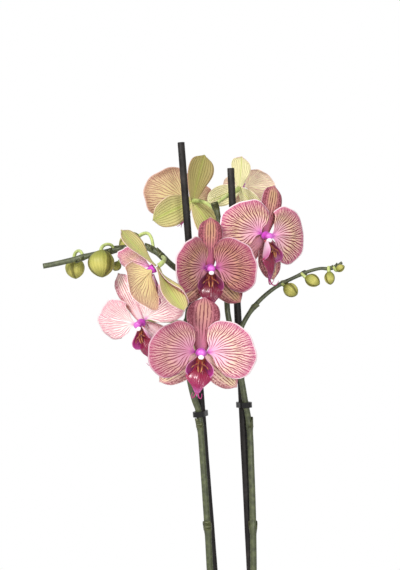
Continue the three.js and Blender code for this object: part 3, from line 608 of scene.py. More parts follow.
LIP_MID = lip_mid()
LIP_INSIDE = lip_side("lip_side_inside", {0.0: "963C1E", 0.2: "680428", 0.55: "860450",
    1.0: "A41484"})
LIP_OUTSIDE = lip_side("lip_side_outside", {0.0: "FAECF4", 0.5: "F4CEE8", 1.0: "CE50A0"})
COLUMN = flesh("column", {0.0: "D068C8", 0.5: "BC32B2", 1.0: "C446BC"}, 500.0, 0.35)
TENDRIL = flesh("tendril", {0.0: "961860", 1.0: "B02878"}, 500.0, 0.35, 0.05)
ANTHER = flesh("anther_cap", {0.0: "FAF0F6", 1.0: "FCFAFA"}, 700.0, 0.35)
CALLUS = flesh("callus", {0.0: "B06A32", 0.35: "924A28", 0.55: "64121C", 0.75: "A66030",
    1.0: "C48850"}, 900.0, 0.4)
LIP_PARTS = (LIP_MID, LIP_INSIDE, LIP_OUTSIDE, COLUMN, TENDRIL, ANTHER, CALLUS)
print("materials", [material.name for material in LIP_PARTS])

# %% [markdown]
# ## The flowers
#
# All seven flowers share one plan: a dorsal sepal on top, two lower sepals, two broad petals
# and a lip under a short column. Each shape is worked out in the flower's own frame, where it
# faces -Y, and is then turned to its place. The table says how each flower differs, and its
# centre and size come from the packed model, by matching its petals' boxes. Sculpting would
# give one fine flower. Formulas with a table give seven that are clearly kin.

# %% The flower table
# The four numbers of painted shade are for the left petal, the right petal, the dorsal and the
# lower sepals, and the lip has its own.
USUAL = dict(fan=1, twist=0, roll=0, crest=90, lower=(1, 1), wide=(1, 1), swing=(0, 0), dusk=0,
    lip=(0, 0), lip_size=1, lip_deep=0, deep=(0, 0, 0, 0), lift=(0, 0), reach=(1, 1))
FLOWERS = {
    "front": dict(face=(0.03, -1, 0.02), lean=4, sweep=(4, 4), turn=(-2, -3), back=(6, 20),
        spread=39, dorsal=(1.04, 1), lower=(0.95, 0.95), reach=(0.93, 0.96), lift=(-5, 4),
        deep=(0.78, 0.28, 0.95, 0), pale=0.3, spots=0.5, lip=(3, 0)),
    "middle": dict(face=(0.15, -0.98, -0.05), lean=1, sweep=(42, 36), turn=(-5, -7),
        back=(-2, -4), spread=46, dorsal=(1.01, 0.78), lower=(0.86, 1), reach=(0.97, 0.97),
        lift=(4, 7), deep=(0.46, 0.78, 0.85, 0.6), pale=0, dusk=0.6, spots=0.4, lip=(0, -6),
        lip_deep=0.7),
    "right": dict(face=(0.42, -0.9, -0.1), lean=11, sweep=(-12, -16), turn=(-5, -3), fan=1.05,
        back=(12, 16), spread=56, crest=83, dorsal=(1.08, 0.76), reach=(0.95, 1), lift=(11, 3),
        deep=(0.2, 0, 0.65, 0.3), pale=0.08, dusk=0.35, spots=0.2, lip=(2, 34), lip_size=1.16,
        lip_deep=0.25),
    "left": dict(face=(-0.42, -0.88, -0.2), lean=-31, sweep=(-12, -3), turn=(24, -16), fan=0.72,
        back=(8, 16), spread=74, dorsal=(1.12, 0.72), reach=(1, 1.03), lift=(0, 14),
        deep=(0, 0, 0, 0.2), pale=1, spots=0.1, lip=(-4, -14)),
    "side": dict(face=(-0.84, 0.13, -0.54), lean=-33, sweep=(42, 16), turn=(0, -27), fan=0.9,
        back=(-12, 1), spread=70, twist=26, roll=-16, dorsal=(0.98, 1.1), lower=(1, 1.3),
        reach=(0.8, 1.04), lift=(38, -3), wide=(0.5, 0.86), swing=(24, 12), deep=(0, 0, 0.1, 0),
        pale=0.15, dusk=0.15, spots=0.3, lip_size=0.75),
    "back_left": dict(face=(-0.5, 0.86, -0.02), lean=13, sweep=(24, 24), turn=(0, 0), back=(2, 8),
        spread=38, dorsal=(1.02, 1), lower=(1.12, 1.2), reach=(0.75, 0.98), lift=(-4, -2),
        deep=(0, 0.5, 0.8, 0), pale=0.25, dusk=0.1, spots=0.3, lip_size=0.66),
    "back_right": dict(face=(0.4, 0.8, 0.45), lean=5, sweep=(24, 24), turn=(0, -14), back=(2, 8),
        spread=36, dorsal=(0.98, 0.9), lower=(1, 1.1), reach=(0.88, 0.7), lift=(0, -50),
        pale=0.95, spots=0.1),
}
FLOWERS = {name: USUAL | spec for name, spec in FLOWERS.items()}
print("flowers", list(FLOWERS))
# Outlines: a petal's reach at places across its fan, and a sepal's half width along it.
PETAL_FAN = ((-1, 0.58), (-0.8, 0.86), (-0.45, 0.99), (-0.15, 1), (0.3, 0.87), (0.7, 0.72),
    (1, 0.5))
PETAL_LENGTH, PETAL_TILT, PETAL_SPREAD = 42.0, 19.5, 66.0
# The points along and across a petal and a sepal, and the way a flower's front faces.
PETAL_STEPS, SEPAL_STEPS, FRONT = (40, 57), (34, 19), (0, -1, 0)
DORSAL = ((0, 0.3), (0.25, 0.6), (0.6, 0.98), (0.82, 0.9), (0.94, 0.6), (1, 0.12))
LATERAL = ((0, 0.32), (0.25, 0.8), (0.5, 1), (0.8, 0.76), (0.94, 0.42), (1, 0.06))


# %% Petal and sepal shapes
def turned_about(points, axis, degrees):
    """Turns points, a (..., 3) array, about an axis through the origin."""
    matrix = np.array(Matrix.Rotation(radians(degrees), 3, axis))
    return points @ matrix.T


def petal_grid(side, spec, nu, nv, seed=None):
    """A petal's middle surface. With a seed its margin ruffles and its face is a little uneven."""
    u, v = uv_grid(nu, nv)
    which = 0 if side < 0 else 1
    s = 2 * v - 1
    spread = s * spec["fan"] * PETAL_SPREAD * (0.42 + 0.58 * smoothstep(u, 0, 0.5))
    look = USUAL if seed is None else spec
    spread = spread * look["wide"][which]
    lift = look["lift"][which]
    angle = np.radians(PETAL_TILT + spec["turn"][which] + lift + spread)
    length = PETAL_LENGTH * along_knots(PETAL_FAN, s)
    y = -2.2 * np.sin(0.8 * pi * u)
    if seed is not None:
        own = np.random.default_rng(seed)
        phase = own.uniform(0, 2 * pi, 6)
        length = length * (1 + 0.012 * np.sin(9 * s + phase[0]) + 0.008 * np.sin(17 * s + phase[1]))
        length = length * look["reach"][which]
        y = y + 1.0 * smoothstep(u, 0.75, 1.0) ** 2 * np.sin(7 * s + phase[2])
        y = y + 0.35 * smoothstep(u, 0.8, 1.0) * np.sin(19 * s + phase[3])
        y = y + 1.6 * smoothstep(u, 0.82, 1.06)
        y = y + 0.28 * np.sin(6.5 * s + phase[4]) * np.sin(pi * u)
        y = y - 0.9 * np.exp(-((s + 0.1) / 0.12) ** 2) * np.sin(pi * np.minimum(u * 1.3, 1))
    reach = 2 + (length - 2) * u
    grid = np.stack([reach * np.cos(angle), y, reach * np.sin(angle)], axis=2)
    grid = turned_about(grid, "Z", -spec["sweep"][which] - look["swing"][which])
    return np.stack([side * (grid[..., 0] + 3.1), grid[..., 1] - 0.9, grid[..., 2] + 0.6], axis=2)


def sepal_grid(angle, length, width, outline, back, twist, seed):
    """A sepal's middle surface: long, keeled and a little hooded, turned out by an angle."""
    u, v = uv_grid(*SEPAL_STEPS)
    own = np.random.default_rng(seed)
    phase = own.uniform(0, 2 * pi, 4)
    s = 2 * v - 1
    across = s * 0.5 * width * along_knots(outline, u)
    along = 1.2 + u * length * (1 - 0.035 * s * s * smoothstep(u, 0.7, 1))
    cup = 0.012 * across**2 - 1.6 * np.sin(pi * u)
    cup = cup + 0.5 * np.exp(-((s / 0.1) ** 2)) * np.sin(pi * u)
    cup = cup + 0.45 * np.abs(s) ** 3 * np.sin(9 * u + phase[0]) + 0.8 * smoothstep(u, 0.8, 1.1)
    grid = np.stack([along, cup, across], axis=2)
    turn = np.radians(twist * smoothstep(u, 0, 0.6))
    y = grid[..., 1] * np.cos(turn) - grid[..., 2] * np.sin(turn)
    z = grid[..., 1] * np.sin(turn) + grid[..., 2] * np.cos(turn)
    grid = np.stack([grid[..., 0], y, z], axis=2)
    grid = turned_about(turned_about(grid, "Z", back), "Y", -angle)
    return grid + np.array((0, 2.6, 0))


def flower_turn(spec):
    """The flower's own axes as the columns of a matrix: x, y (behind it) and z (its dorsal)."""
    y = -Vector(spec["face"]).normalized()
    lean = radians(spec["lean"])
    up = Vector((sin(lean), 0, cos(lean)))
    up.y = -up.dot(y) / y.y
    z = up.normalized()
    return np.array(Matrix((y.cross(z), y, z)).transposed())


def flower_place(name, spec):
    """The flower's centre in mm and its size, from its petals' boxes in the packed model."""
    turn = flower_turn(spec)
    shape = np.vstack([petal_grid(side, spec, 5, 8).reshape(-1, 3) for side in (-1, 1)]) @ turn.T
    boxes = np.array([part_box(f"{name}_flower_petal_{side}") for side in ("left", "right")]) / MM
    low, high = boxes[:, 0].min(axis=0), boxes[:, 1].max(axis=0)
    span = high - low
    wide = np.argmax(span)
    size = (span[wide] - 1.0) / (shape[:, wide].max() - shape[:, wide].min())
    centre = (low + high) / 2 - size * (shape.max(axis=0) + shape.min(axis=0)) / 2
    return centre, size


for name, spec in FLOWERS.items():
    spec["matrix"] = flower_turn(spec)
    spec["centre"], spec["size"] = flower_place(name, spec)
    print(name, "centre", np.round(spec["centre"], 1), "size", round(spec["size"], 3))


# %% Build the petals and sepals
def into_place(spec):
    """A function that carries points from a flower's own frame to its place on the plant."""
    return lambda points: points @ spec["matrix"].T * spec["size"] + spec["centre"]


def margin_thin(nu, nv, middle, edge):
    """Thickness over a grid: thinner at its far and side margins."""
    u, v = uv_grid(nu, nv)
    near = np.maximum(smoothstep(u, 0.5, 1), smoothstep(np.abs(2 * v - 1), 0.7, 1))
    return middle + (edge - middle) * near


def petals_and_sepals(name, spec, seed):
    tones = dict(pale=spec["pale"], dusk=spec["dusk"], spots=spec["spots"])
    # Each petal, the dorsal and the lower sepals get their own share of painted shade.
    for side, word, deep in ((-1, "left", spec["deep"][0]), (1, "right", spec["deep"][1])):
        grid = petal_grid(side, spec, *PETAL_STEPS, seed * 10 + side)
        build = Build()
        build.sheet(grid, margin_thin(*PETAL_STEPS, 0.7, 0.3), look=FRONT)
        build.moved(into_place(spec)).object(f"petal_{word}_{name}", PETAL, "petal",
            [f"{name}_flower_petal_{word}"], deep=deep, **tones)
    build = Build()
    lower = (44 * spec["lower"][0], 23 * spec["lower"][1])
    thin = margin_thin(*SEPAL_STEPS, 0.8, 0.35)
    top = (42 * spec["dorsal"][0], 27 * spec["dorsal"][1])
    grid = sepal_grid(spec["crest"], *top, DORSAL, spec["back"][0], spec["roll"], seed)
    build.sheet(grid, thin, look=FRONT)
    build.moved(into_place(spec)).object(
        f"dorsal_{name}", SEPAL, "sepal", deep=spec["deep"][2], **(tones | {"spots": 0}))
    build = Build()
    for angle, twist in ((-spec["spread"], spec["twist"]), (180 + spec["spread"], -spec["twist"])):
        own = seed + int(angle) + 100
        grid = sepal_grid(angle, *lower, LATERAL, spec["back"][1], twist, own)
        build.sheet(grid, thin, look=FRONT)
    build.moved(into_place(spec)).object(f"lower_sepals_{name}", SEPAL, "sepal",
        [f"{name}_flower_sepals"], deep=spec["deep"][3], **tones)


for number, (name, spec) in enumerate(FLOWERS.items()):
    petals_and_sepals(name, spec, number + 3)
print("petals and sepals made")

# %% [markdown]
# ## Lip and column
#
# The lip is the flower's third petal: two side lobes stand up about a tawny callus, and the
# middle lobe hangs like an anchor with two tendrils at its tip. Above it the column ends in a
# white anther cap. It could be carved from one block. Here it is put together from bent sheets,
# tubes and turned solids, all closed, so the lip can swing as one about the column's foot.

# %% Column and cap shapes
def column_pose(p):
    """Lays the turned column along the flower's axis and flattens it a little."""
    return np.stack([p[:, 0] * (1.1 - 0.012 * p[:, 1]), p[:, 2] - 0.2, p[:, 1] * 0.95 + 0.5],
        axis=1)


def cap_pose(p):
    return np.stack([p[:, 0], p[:, 2] * 0.8 - 8.7, p[:, 1] * 0.8 - 2.9], axis=1)


def column_pieces(name, spec):
    build = Build()
    profile = [(0, -9.2), (1.3, -9.1), (2.6, -8.6), (3.1, -7.4), (3.0, -5.6), (2.9, -4.0),
        (3.4, -2.2), (4.1, -0.6), (4.0, 0.4), (0, 0.6)]
    build.turned(profile, 24, 0, column_pose)
    build.moved(into_place(spec)).object(f"column_{name}", [COLUMN], "lip", [f"{name}_flower_lip"])
    cap = Build()
    cap.turned([(0, -2.0), (1.3, -1.8), (2.1, -1.0), (2.3, 0), (2.0, 0.9), (1.2, 1.6), (0, 1.8)],
        18, 0, cap_pose)
    cap.moved(into_place(spec)).object(f"anther_cap_{name}", [ANTHER], "lip")


print("column shapes ready")


# %% Build the lips
def lip_pieces(name, spec):
    roll, yaw = spec["lip"]
    foot = np.array((0, -3.0, -3.0))

    def swung(points):
        """The lip hangs from the column's foot, rolled and turned a little on each flower."""
        moved = turned_about(turned_about(points - foot, "Z", yaw), "Y", roll) * spec["lip_size"]
        return into_place(spec)(moved + foot)

    nu, nv = 36, 19
    u, v = uv_grid(nu, nv)
    s = 2 * v - 1
    outline = ((0, 0.42), (0.2, 0.36), (0.4, 0.6), (0.56, 1.0), (0.68, 0.86), (0.84, 0.46),
        (1, 0.2))
    across = s * 10.2 * along_knots(outline, u)
    keel = 1.3 * np.exp(-((s / 0.2) ** 2)) * np.sin(pi * u)
    belly = 9 * np.sin(1.9 * u) - 0.03 * across**2 + keel
    drop = -3.5 - 28.5 * u + 1.6 * np.abs(s) * smoothstep(u, 0.35, 0.6)
    grid = np.stack([across, -4 - belly, drop], axis=2)
    middle = Build()
    middle.sheet(grid, margin_thin(nu, nv, 1.5, 0.6), 0, 0, look=FRONT)
    tip = np.array((0, -4 - 9 * sin(1.9), -31.6))
    for side in (-1, 1):
        curl = bezier(tip + (side * 0.8, 0.2, 1.6), tip + (side * 1.2, -1.5, -4.5),
            tip + (side * 5.0, -5.0, -4.5), tip + (side * 3.6, -6.0, 1.0), 18)
        middle.tube(curl, 0.62 * (1 - 0.7 * np.linspace(0, 1, 19)), 8, 1)
    # The lip is darkened by its own share of painted shade.
    middle.moved(swung).object(f"lip_middle_{name}", [LIP_MID, TENDRIL], "lip",
        deep=spec["lip_deep"])

    sides = Build()
    for side in (-1, 1):
        nu, nv = 24, 19
        u, v = uv_grid(nu, nv)
        outline = ((0, 0.32), (0.3, 0.62), (0.65, 1), (0.87, 0.86), (1, 0.4))
        along = 1 + 17.5 * u
        wide = (v - 0.42) * 12 * along_knots(outline, u)
        hollow = 1.1 * (1 - (2 * v - 1) ** 2) * np.sin(pi * np.minimum(u * 1.1, 1))
        out = side * (1.6 + 0.44 * along + 0.36 * wide + hollow)
        forward = -3.5 - 0.42 * along - 0.62 * wide
        up = -2.5 - 0.79 * along + 0.5 * wide
        sides.sheet(np.stack([out, forward, up], axis=2), margin_thin(nu, nv, 0.9, 0.4),
            look=(-side, -0.3, 0))
    # The lip is darkened by its own share of painted shade.
    sides.moved(swung).object(f"lip_sides_{name}", [LIP_INSIDE, LIP_OUTSIDE], "lip",
        deep=spec["lip_deep"])

    callus = Build()
    for side in (-1, 1):
        ridge = bezier((side * 0.9, -5.0, -5.5), (side * 1.8, -10.0, -7.5),
            (side * 1.9, -12.5, -10.5), (side * 0.9, -13.4, -14.5), 12)
        callus.tube(ridge, 0.85 * np.sin(pi * (0.12 + 0.8 * np.linspace(0, 1, 13))), 8)
        horn = bezier((side * 1.5, -9.5, -8.0), (side * 4.0, -12, -8.6), (side * 5.5, -13, -10),
            (side * 6.6, -12.6, -11.6), 10)
        callus.tube(horn, 0.5 * np.sin(pi * (0.15 + 0.75 * np.linspace(0, 1, 11))), 7)
    callus.moved(swung).object(f"callus_{name}", [CALLUS], "lip")


for name, spec in FLOWERS.items():
    column_pieces(name, spec)
    lip_pieces(name, spec)
print("lips made:", len(FLOWERS))

# %% [markdown]
# ## Stems and buds
#
# Two spikes rise beside their stakes and arch over, and one carries a side branch. Their routes
# are lists of points above the bark. Each stem swells a little at its nodes, where a dry bract
# wraps it, and every flower and bud has its own stalk. A bevelled curve would be quicker, but a
# mesh tube is closed at its ends and can swell where it should.

# %% Stem materials
def stem_material(name, dark, mid, light):
    sh = Shader(name)
    grain = sh.grain(260, 4, 0.6)
    fine = sh.grain(1500, 2)
    colour = sh.ramp(grain, {0.3: dark, 0.52: mid, 0.75: light})
    return sh.finish(colour, 0.42, grain + fine * 0.3, 0.00025)


def bud_material():
    sh = Shader("bud")
    u, v = sh.uv()
    wander = sh.grain(120, 2)
    shaded_grooves = sh.line(v + (wander - 0.5) * 0.05, 3, 26, 0.1, 1.5)
    fine = sh.line(v + wander * 0.03, 21, 40, 0.05, 0.7)
    soft = sh.grain(90, 3)
    base = sh.ramp(u + (soft - 0.5) * 0.3, {0.0: "70762E", 0.35: "909042", 0.7: "AEA858",
        1.0: "8A883E"})
    colour = sh.mix(fine * 0.22, base, "7E7E32")
    # The three grooves are darkened with painted shade.
    colour = sh.mix(shaded_grooves * 0.85, colour, "58521A")
    height = shaded_grooves * -2.5 + fine * -0.4
    return sh.finish(colour, 0.5, height, 0.00035, 0.06, "C8D66E", specular=0.35)


STEM = stem_material("stem", "303422", "42482E", "585E3E")
STALK = stem_material("stalk", "849254", "A6B26C", "BAC280")
BRACT = stem_material("bract", "383A26", "505436", "686846")
BUD = bud_material()
print("materials", [material.name for material in (STEM, STALK, BRACT, BUD)])

# %% Routes of the stems
LEFT_SPIKE = (
    (-8, 9.8, 8), (-10, 8, 34), (-16.4, 6.6, 66), (-22.6, 6.6, 96), (-26.8, 5.2, 156),
    (-30.3, 3.8, 206), (-33, 2.6, 241), (-34.6, 2, 255), (-37.8, 0, 264), (-42.2, 0, 283),
    (-44.4, 1, 305), (-44, 0, 326), (-41.6, -1.2, 344), (-37.6, -3, 354), (-38.5, -5, 363),
    (-45, -6, 369), (-53.5, -6, 373), (-64, -6, 382), (-73, -6, 388.4), (-83, -5, 390.6),
    (-94, -4, 389.6), (-105.4, -3, 387.5), (-122.8, -3, 383.8), (-137, -4, 380.2),
    (-152, -5, 376.6), (-163, -6, 374.5))
RIGHT_SPIKE = (
    (7, 9.8, 8), (7.4, 7.8, 34), (9, 5.4, 66), (11, 4.7, 96), (11, 3.8, 156), (9.6, 4.2, 206),
    (8, 4.9, 241), (4.6, 2.4, 261), (0.8, 1.2, 283), (-3.7, 0.5, 306.6), (-8.3, 1, 325.7),
    (-10.2, 1.5, 336), (-10.9, 2, 346.4), (-11.6, 2.5, 363), (-13.3, 3, 384), (-15.8, 4, 403),
    (-18.3, 5, 417), (-21.2, 6, 427.5))
SIDE_BRANCH = (
    (-3.2, -4.9, 309), (-1, -5, 317.4), (2.4, -4.6, 326.6), (10.8, -4.6, 340), (20.3, -4.4, 350),
    (32.4, -4, 359), (42.5, -3.6, 364), (55.2, -3, 369.6), (66.7, -3, 372.6), (73, -3, 372.4),
    (78.5, -3, 373.6), (84.5, -3, 377.6))
# Where each flower's stalk leaves its stem, and how far it runs straight behind the flower.
STALKS = {
    "front": ("left", (-44.3, 0.8, 311), 0.42), "middle": ("right", (-12.2, 2.6, 371), 0.42),
    "right": ("right", (-14.2, 3.3, 391), 0.42), "left": ("left", (-44, -0.2, 327), 0.42),
    "side": ("left", (-64, -6, 382), 0.16), "back_left": ("right", (-19.4, 5.4, 421), 0.42),
    "back_right": ("right", (-20.7, 5.8, 425.6), 0.3)}
# Each bud's middle, the way its tip points, its length and width, its stem, where its stalk
# leaves that stem, what the stalk heads for, and how far it runs straight behind the bud.
BUDS = {
    "left_bud_1": ((-137.6, 9, 373), (0.08, -0.1, -1), 18, 16.5, "left",
        (-130.4, -3.6, 382.2), (-131, 0, 390), 7),
    "left_bud_2": ((-114.3, -13, 376.4), (0.04, -0.25, -1), 23, 22, "left",
        (-105, -3.2, 387.4), (-103.6, -5, 394.5), 7.5),
    "left_bud_3": ((-102.6, 5, 374.6), (-0.5, 0.1, -0.8), 9, 7.4, "left",
        (-95.5, -3.7, 388.8), (-95, 2, 388), 5),
    "left_bud_4": ((-88.4, 4, 372.8), (-0.2, 0.1, -0.95), 9.5, 8, "left",
        (-86, -4.6, 390), (-86, 1, 390), 5),
    "left_bud_5": ((-92, 10, 394.6), (-0.75, 0.1, -0.5), 20, 17, "left",
        (-71.6, -6, 388), (-73, -2, 401), 10),
    "right_bud_1": ((41.6, -10, 354.6), (0.72, -0.5, -0.5), 14, 11.6, "branch",
                    (34.5, -4, 360), (34.5, -5, 360.5), 2),
    "right_bud_2": ((59.6, -9.6, 362.6), (0.85, -0.3, -0.42), 13.6, 10.6, "branch",
                    (51, -3.4, 368.2), (51, -6, 368.6), 2.5),
    "right_bud_3": ((73.8, -8.6, 364.6), (0.1, -0.3, -1), 11.4, 8.8, "branch",
                    (73, -3, 372.4), (73.4, -4, 375), 3.5),
    "right_bud_4": ((82.4, -9.8, 372.8), (0.8, -0.2, 0.45), 8, 6.4, "branch",
                    (77.6, -3, 373.4), (77.6, -6, 373.4), 1)}
CROWN_BOX = np.array(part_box("crown")) / MM
CROWN_ABOVE_BARK = 36
BARK_Z = float(CROWN_BOX[1][2]) - CROWN_ABOVE_BARK
print("bark at", round(BARK_Z, 2), "mm")


def above_bark(point):
    return np.array(point, float) + (0, 0, BARK_Z)


# %% Stem shapes
STEM_STEPS = 260


def wander(path, amount, seed):
    """Nudges a path sideways by a slow random drift that is zero at both ends."""
    own = np.random.default_rng(seed)
    t = np.linspace(0, 1, len(path))
    drift = np.zeros_like(path)
    for turns in (3, 5, 9):
        drift += np.sin(turns * pi * t)[:, None] * own.normal(0, 1 / turns, 3)
    return path + drift * amount


def stem_radius(path, low, high, nodes):
    """A stem's radius along it, thicker just above each node height."""
    t = np.linspace(0, 1, len(path))
    radius = low + (high - low) * t
    for node in nodes:
        away = np.linalg.norm(path - node, axis=1)
        radius = radius * (1 + 0.22 * np.exp(-(away / 3.0) ** 2))
    return radius


def bract(build, path, at, slot, length, radius):
    """A papery scale that wraps the stem from a point on it and lifts at its tip."""
    start = int(np.argmin(np.linalg.norm(path - at, axis=1)))
    tangents, side, up = frames_along(path)
    step = max(np.linalg.norm(path[1] - path[0]), 1e-6)
    nu, nv = 12, 13
    grid = np.zeros((nu, nv, 3))
    twist = rng.uniform(0, 2 * pi)
    for i in range(nu):
        k = min(start + int(round(i / (nu - 1) * length / step)), len(path) - 1)
        t = i / (nu - 1)
        half = 2.4 * (1 - t) ** 0.6
        for j in range(nv):
            a = twist + half * (2 * j / (nv - 1) - 1)
            out = radius + 0.25 + 0.9 * t * t
            grid[i, j] = path[k] + out * (cos(a) * side[k] + sin(a) * up[k])
    grid += tangents[start] * np.linspace(0, 0.01, nu)[:, None, None]
    build.sheet(grid, 0.35, slot, slot)


print("stem helpers ready, for", STEM_STEPS, "steps along a stem")


# %% Build the stems
def stem(name, points, low, high, key, node):
    path = even_steps(smooth_path([above_bark(p) for p in points], 500), STEM_STEPS)
    joints = [above_bark(place) for k, place, _ in STALKS.values() if k == key]
    joints += [above_bark(bud[5]) for bud in BUDS.values() if bud[4] == key]
    bare = [above_bark(points[k])
        for k in (2, 4, 6)] if key != "branch" else [above_bark(points[3])]
    build = Build()
    build.tube(path, stem_radius(path, low, high, joints + bare), 14)
    for at in joints + bare:
        k = int(np.argmin(np.linalg.norm(path - at, axis=1)))
        here = low + (high - low) * k / STEM_STEPS
        bract(build, path, at, 2, 8.5 if key != "branch" else 5, here * 1.12)
    for flower, (k, place, bow) in STALKS.items():
        if k != key:
            continue
        spec = FLOWERS[flower]
        back = spec["matrix"] @ np.array((0.0, 1.0, 0.0))
        end = spec["centre"] + back * spec["size"] * 4.0
        start = above_bark(place)
        reach = np.linalg.norm(end - start) * bow
        route = bezier(start, start + (end - start) * 0.25 + (0, 0, 2), end + back * reach, end, 40)
        swell = 1.5 + 0.55 * np.linspace(0, 1, 41) ** 2
        build.tube(wander(route, 0.25, len(flower)), swell, 12, 1)
    for middle, point, length, _, k, place, via, bow in BUDS.values():
        if k != key:
            continue
        axis = np.array(Vector(point).normalized())
        end = above_bark(middle) - axis * (length / 2 - 0.6)
        route = bezier(above_bark(place), above_bark(via), end - axis * bow, end, 30)
        build.tube(route, 1.3 + 0.35 * np.linspace(0, 1, 31) ** 3, 12, 1)
    build.object(name, [STEM, STALK, BRACT], "spike", [node])


stem("stem_left", LEFT_SPIKE, 3.1, 2.2, "left", "spike_left")
stem("stem_right", RIGHT_SPIKE, 3.1, 2.2, "right", "spike_right")
stem("stem_side_branch", SIDE_BRANCH, 2.2, 1.2, "branch", "side_branch")
print("stems made")

# %% [markdown]
# ## Buds
#
# A bud is a plump egg of three sepals pressed edge to edge. It could be three shells, but only
# the seams between them show, so a turned egg with three soft grooves is lighter and closed.

# %% Build the buds
def bud(name, middle, point, length, width):
    """Three sepals closed over one another: a plump egg with three soft grooves."""
    outline = ((0, 0.16), (0.06, 0.46), (0.25, 0.86), (0.48, 1), (0.75, 0.82), (0.93, 0.4),
        (1, 0.06))
    axis = Vector(point).normalized()
    turn = np.array(Vector((0, 0, 1)).rotation_difference(axis).to_matrix())
    t = np.concatenate([[0], np.linspace(0, 1, 26), [1]])
    shape = along_knots(outline, t) * width / 2
    shape[0] = shape[-1] = 0

    def wobble(u, angle):
        groove = np.abs(((angle / (2 * pi) * 3) % 1) - 0.5) * 2
        seam = 1 - 0.055 * np.exp(-((1 - groove) / 0.09) ** 2) * np.sin(pi * u) ** 0.5
        return seam + 0.012 * np.sin(2 * angle + 5 * u)

    def move(points):
        bent = points.copy()
        bent[:, 0] += 0.03 * width * ((points[:, 2] / length * 2) ** 2 - 0.4)
        return bent @ turn.T + above_bark(middle)

    build = Build()
    build.turned(list(zip(shape, (t - 0.5) * length)), 40, 0, move, wobble)
    build.object(f"{name}_closed", [BUD], "bud", [name])


for name, (middle, point, length, width, *_) in BUDS.items():
    bud(name, middle, point, length, width)
print("buds made:", len(BUDS))

# %% [markdown]
# ## Leaves
#
# The leaves arch out in two ranks, thick and waxy, folded along the midrib like a keel. A flat
# outline could be bent with modifiers. A grid worked out from an arch and a fold is used, because
# the arch's foot, pull and tip can then be set apart, and every leaf lies where it was packed.

# %% Leaf, root, bark and pot materials
def leaf_material(name, dark, light, rib):
    sh = Shader(name)
    u, v = sh.uv()
    side = abs(v - 0.5)
    soft = sh.grain(38, 4, 0.6)
    lines = sh.line(v, 34, 54, 0.05, 0.7)
    base = sh.ramp(soft, {0.3: dark, 0.7: light})
    base = sh.mix(lines * 0.16, base, rib)
    base = sh.mix(sh.ease(side, 0.005, 0.035, 0.55, 0), base, rib)
    base = sh.mix(sh.ease(side, 0.488, 0.5, 0, 0.5), base, "78683C")
    base = sh.mix(sh.ease(u, 0, 0.1, 0.5, 0), base, "96A460")
    grain = lines * -0.5 + sh.grain(420, 3)
    return sh.finish(base, 0.36, grain, 0.00022, coat=0.12)


def root_material():
    sh = Shader("root")
    u, _ = sh.uv()
    soft = sh.grain(120, 5, 0.65)
    fine = sh.grain(900, 3)
    colour = sh.ramp(soft, {0.3: "707C5C", 0.5: "9CA48A", 0.72: "C4C6B4"})
    colour = sh.mix(sh.ease(u, 0.93, 0.99), colour, "70923E")
    return sh.finish(colour, 0.72, soft + fine * 0.5, 0.0005)


def bark_material():
    sh = Shader("bark")
    tone = sh.value("tone")
    soft = sh.grain(130, 5, 0.65)
    fine = sh.grain(420, 4)
    # Painted shade: tone is low on the bed and the lower chips, which lie under other chips, and
    # high on the top layer.
    mixed = soft * 0.7 + tone * 0.4
    colour = sh.ramp(mixed, {0.25: "382216", 0.5: "68422A", 0.75: "966846"})
    return sh.finish(colour, 0.88, soft + fine * 0.6, 0.0009)


def pot_material():
    sh = Shader("pot_glaze")
    soft = sh.grain(14, 3)
    fine = sh.grain(260, 4)
    specks = sh.ease(sh.grain(700, 1), 0.7, 0.76)
    colour = sh.mix(soft, "C0BCB2", "D0CCC3")
    colour = sh.mix(specks * 0.35, colour, "8C8272")
    return sh.finish(colour, 0.26, soft + fine * 0.12, 0.0006, coat=0.4)


LEAF = [leaf_material("leaf_top", "26481C", "486C2C", "80964C"),
        leaf_material("leaf_under", "4C6836", "68824A", "96A668")]
ROOT_SKIN, BARK, GLAZE = root_material(), bark_material(), pot_material()
CROWN = stem_material("crown", "606C38", "7E8A4C", "9EA466")
print("materials", [material.name for material in (*LEAF, ROOT_SKIN, BARK, GLAZE, CROWN)])

# %% Build the leaves
# The way each leaf points, its length and width, and the heights above the bark of its foot, of
# the pull of its arch and of its tip.
LEAVES = {
    "leaf_low_right": (-24, 148, 56, 9, 40, 6), "leaf_low_left": (206, 156, 58, 9, 38, 0),
    "leaf_middle_right": (-35, 132, 54, 18.5, 70, 50),
    "leaf_middle_left": (217, 138, 55, 18.5, 72, 46),
    "leaf_upper_right": (-17, 104, 46, 28, 84, 80), "leaf_upper_left": (199, 98, 44, 28, 86, 84)}
LEAF_OUTLINE = ((0, 0.3), (0.12, 0.42), (0.35, 0.82), (0.62, 1), (0.82, 0.86), (0.94, 0.52),
    (1, 0.1))


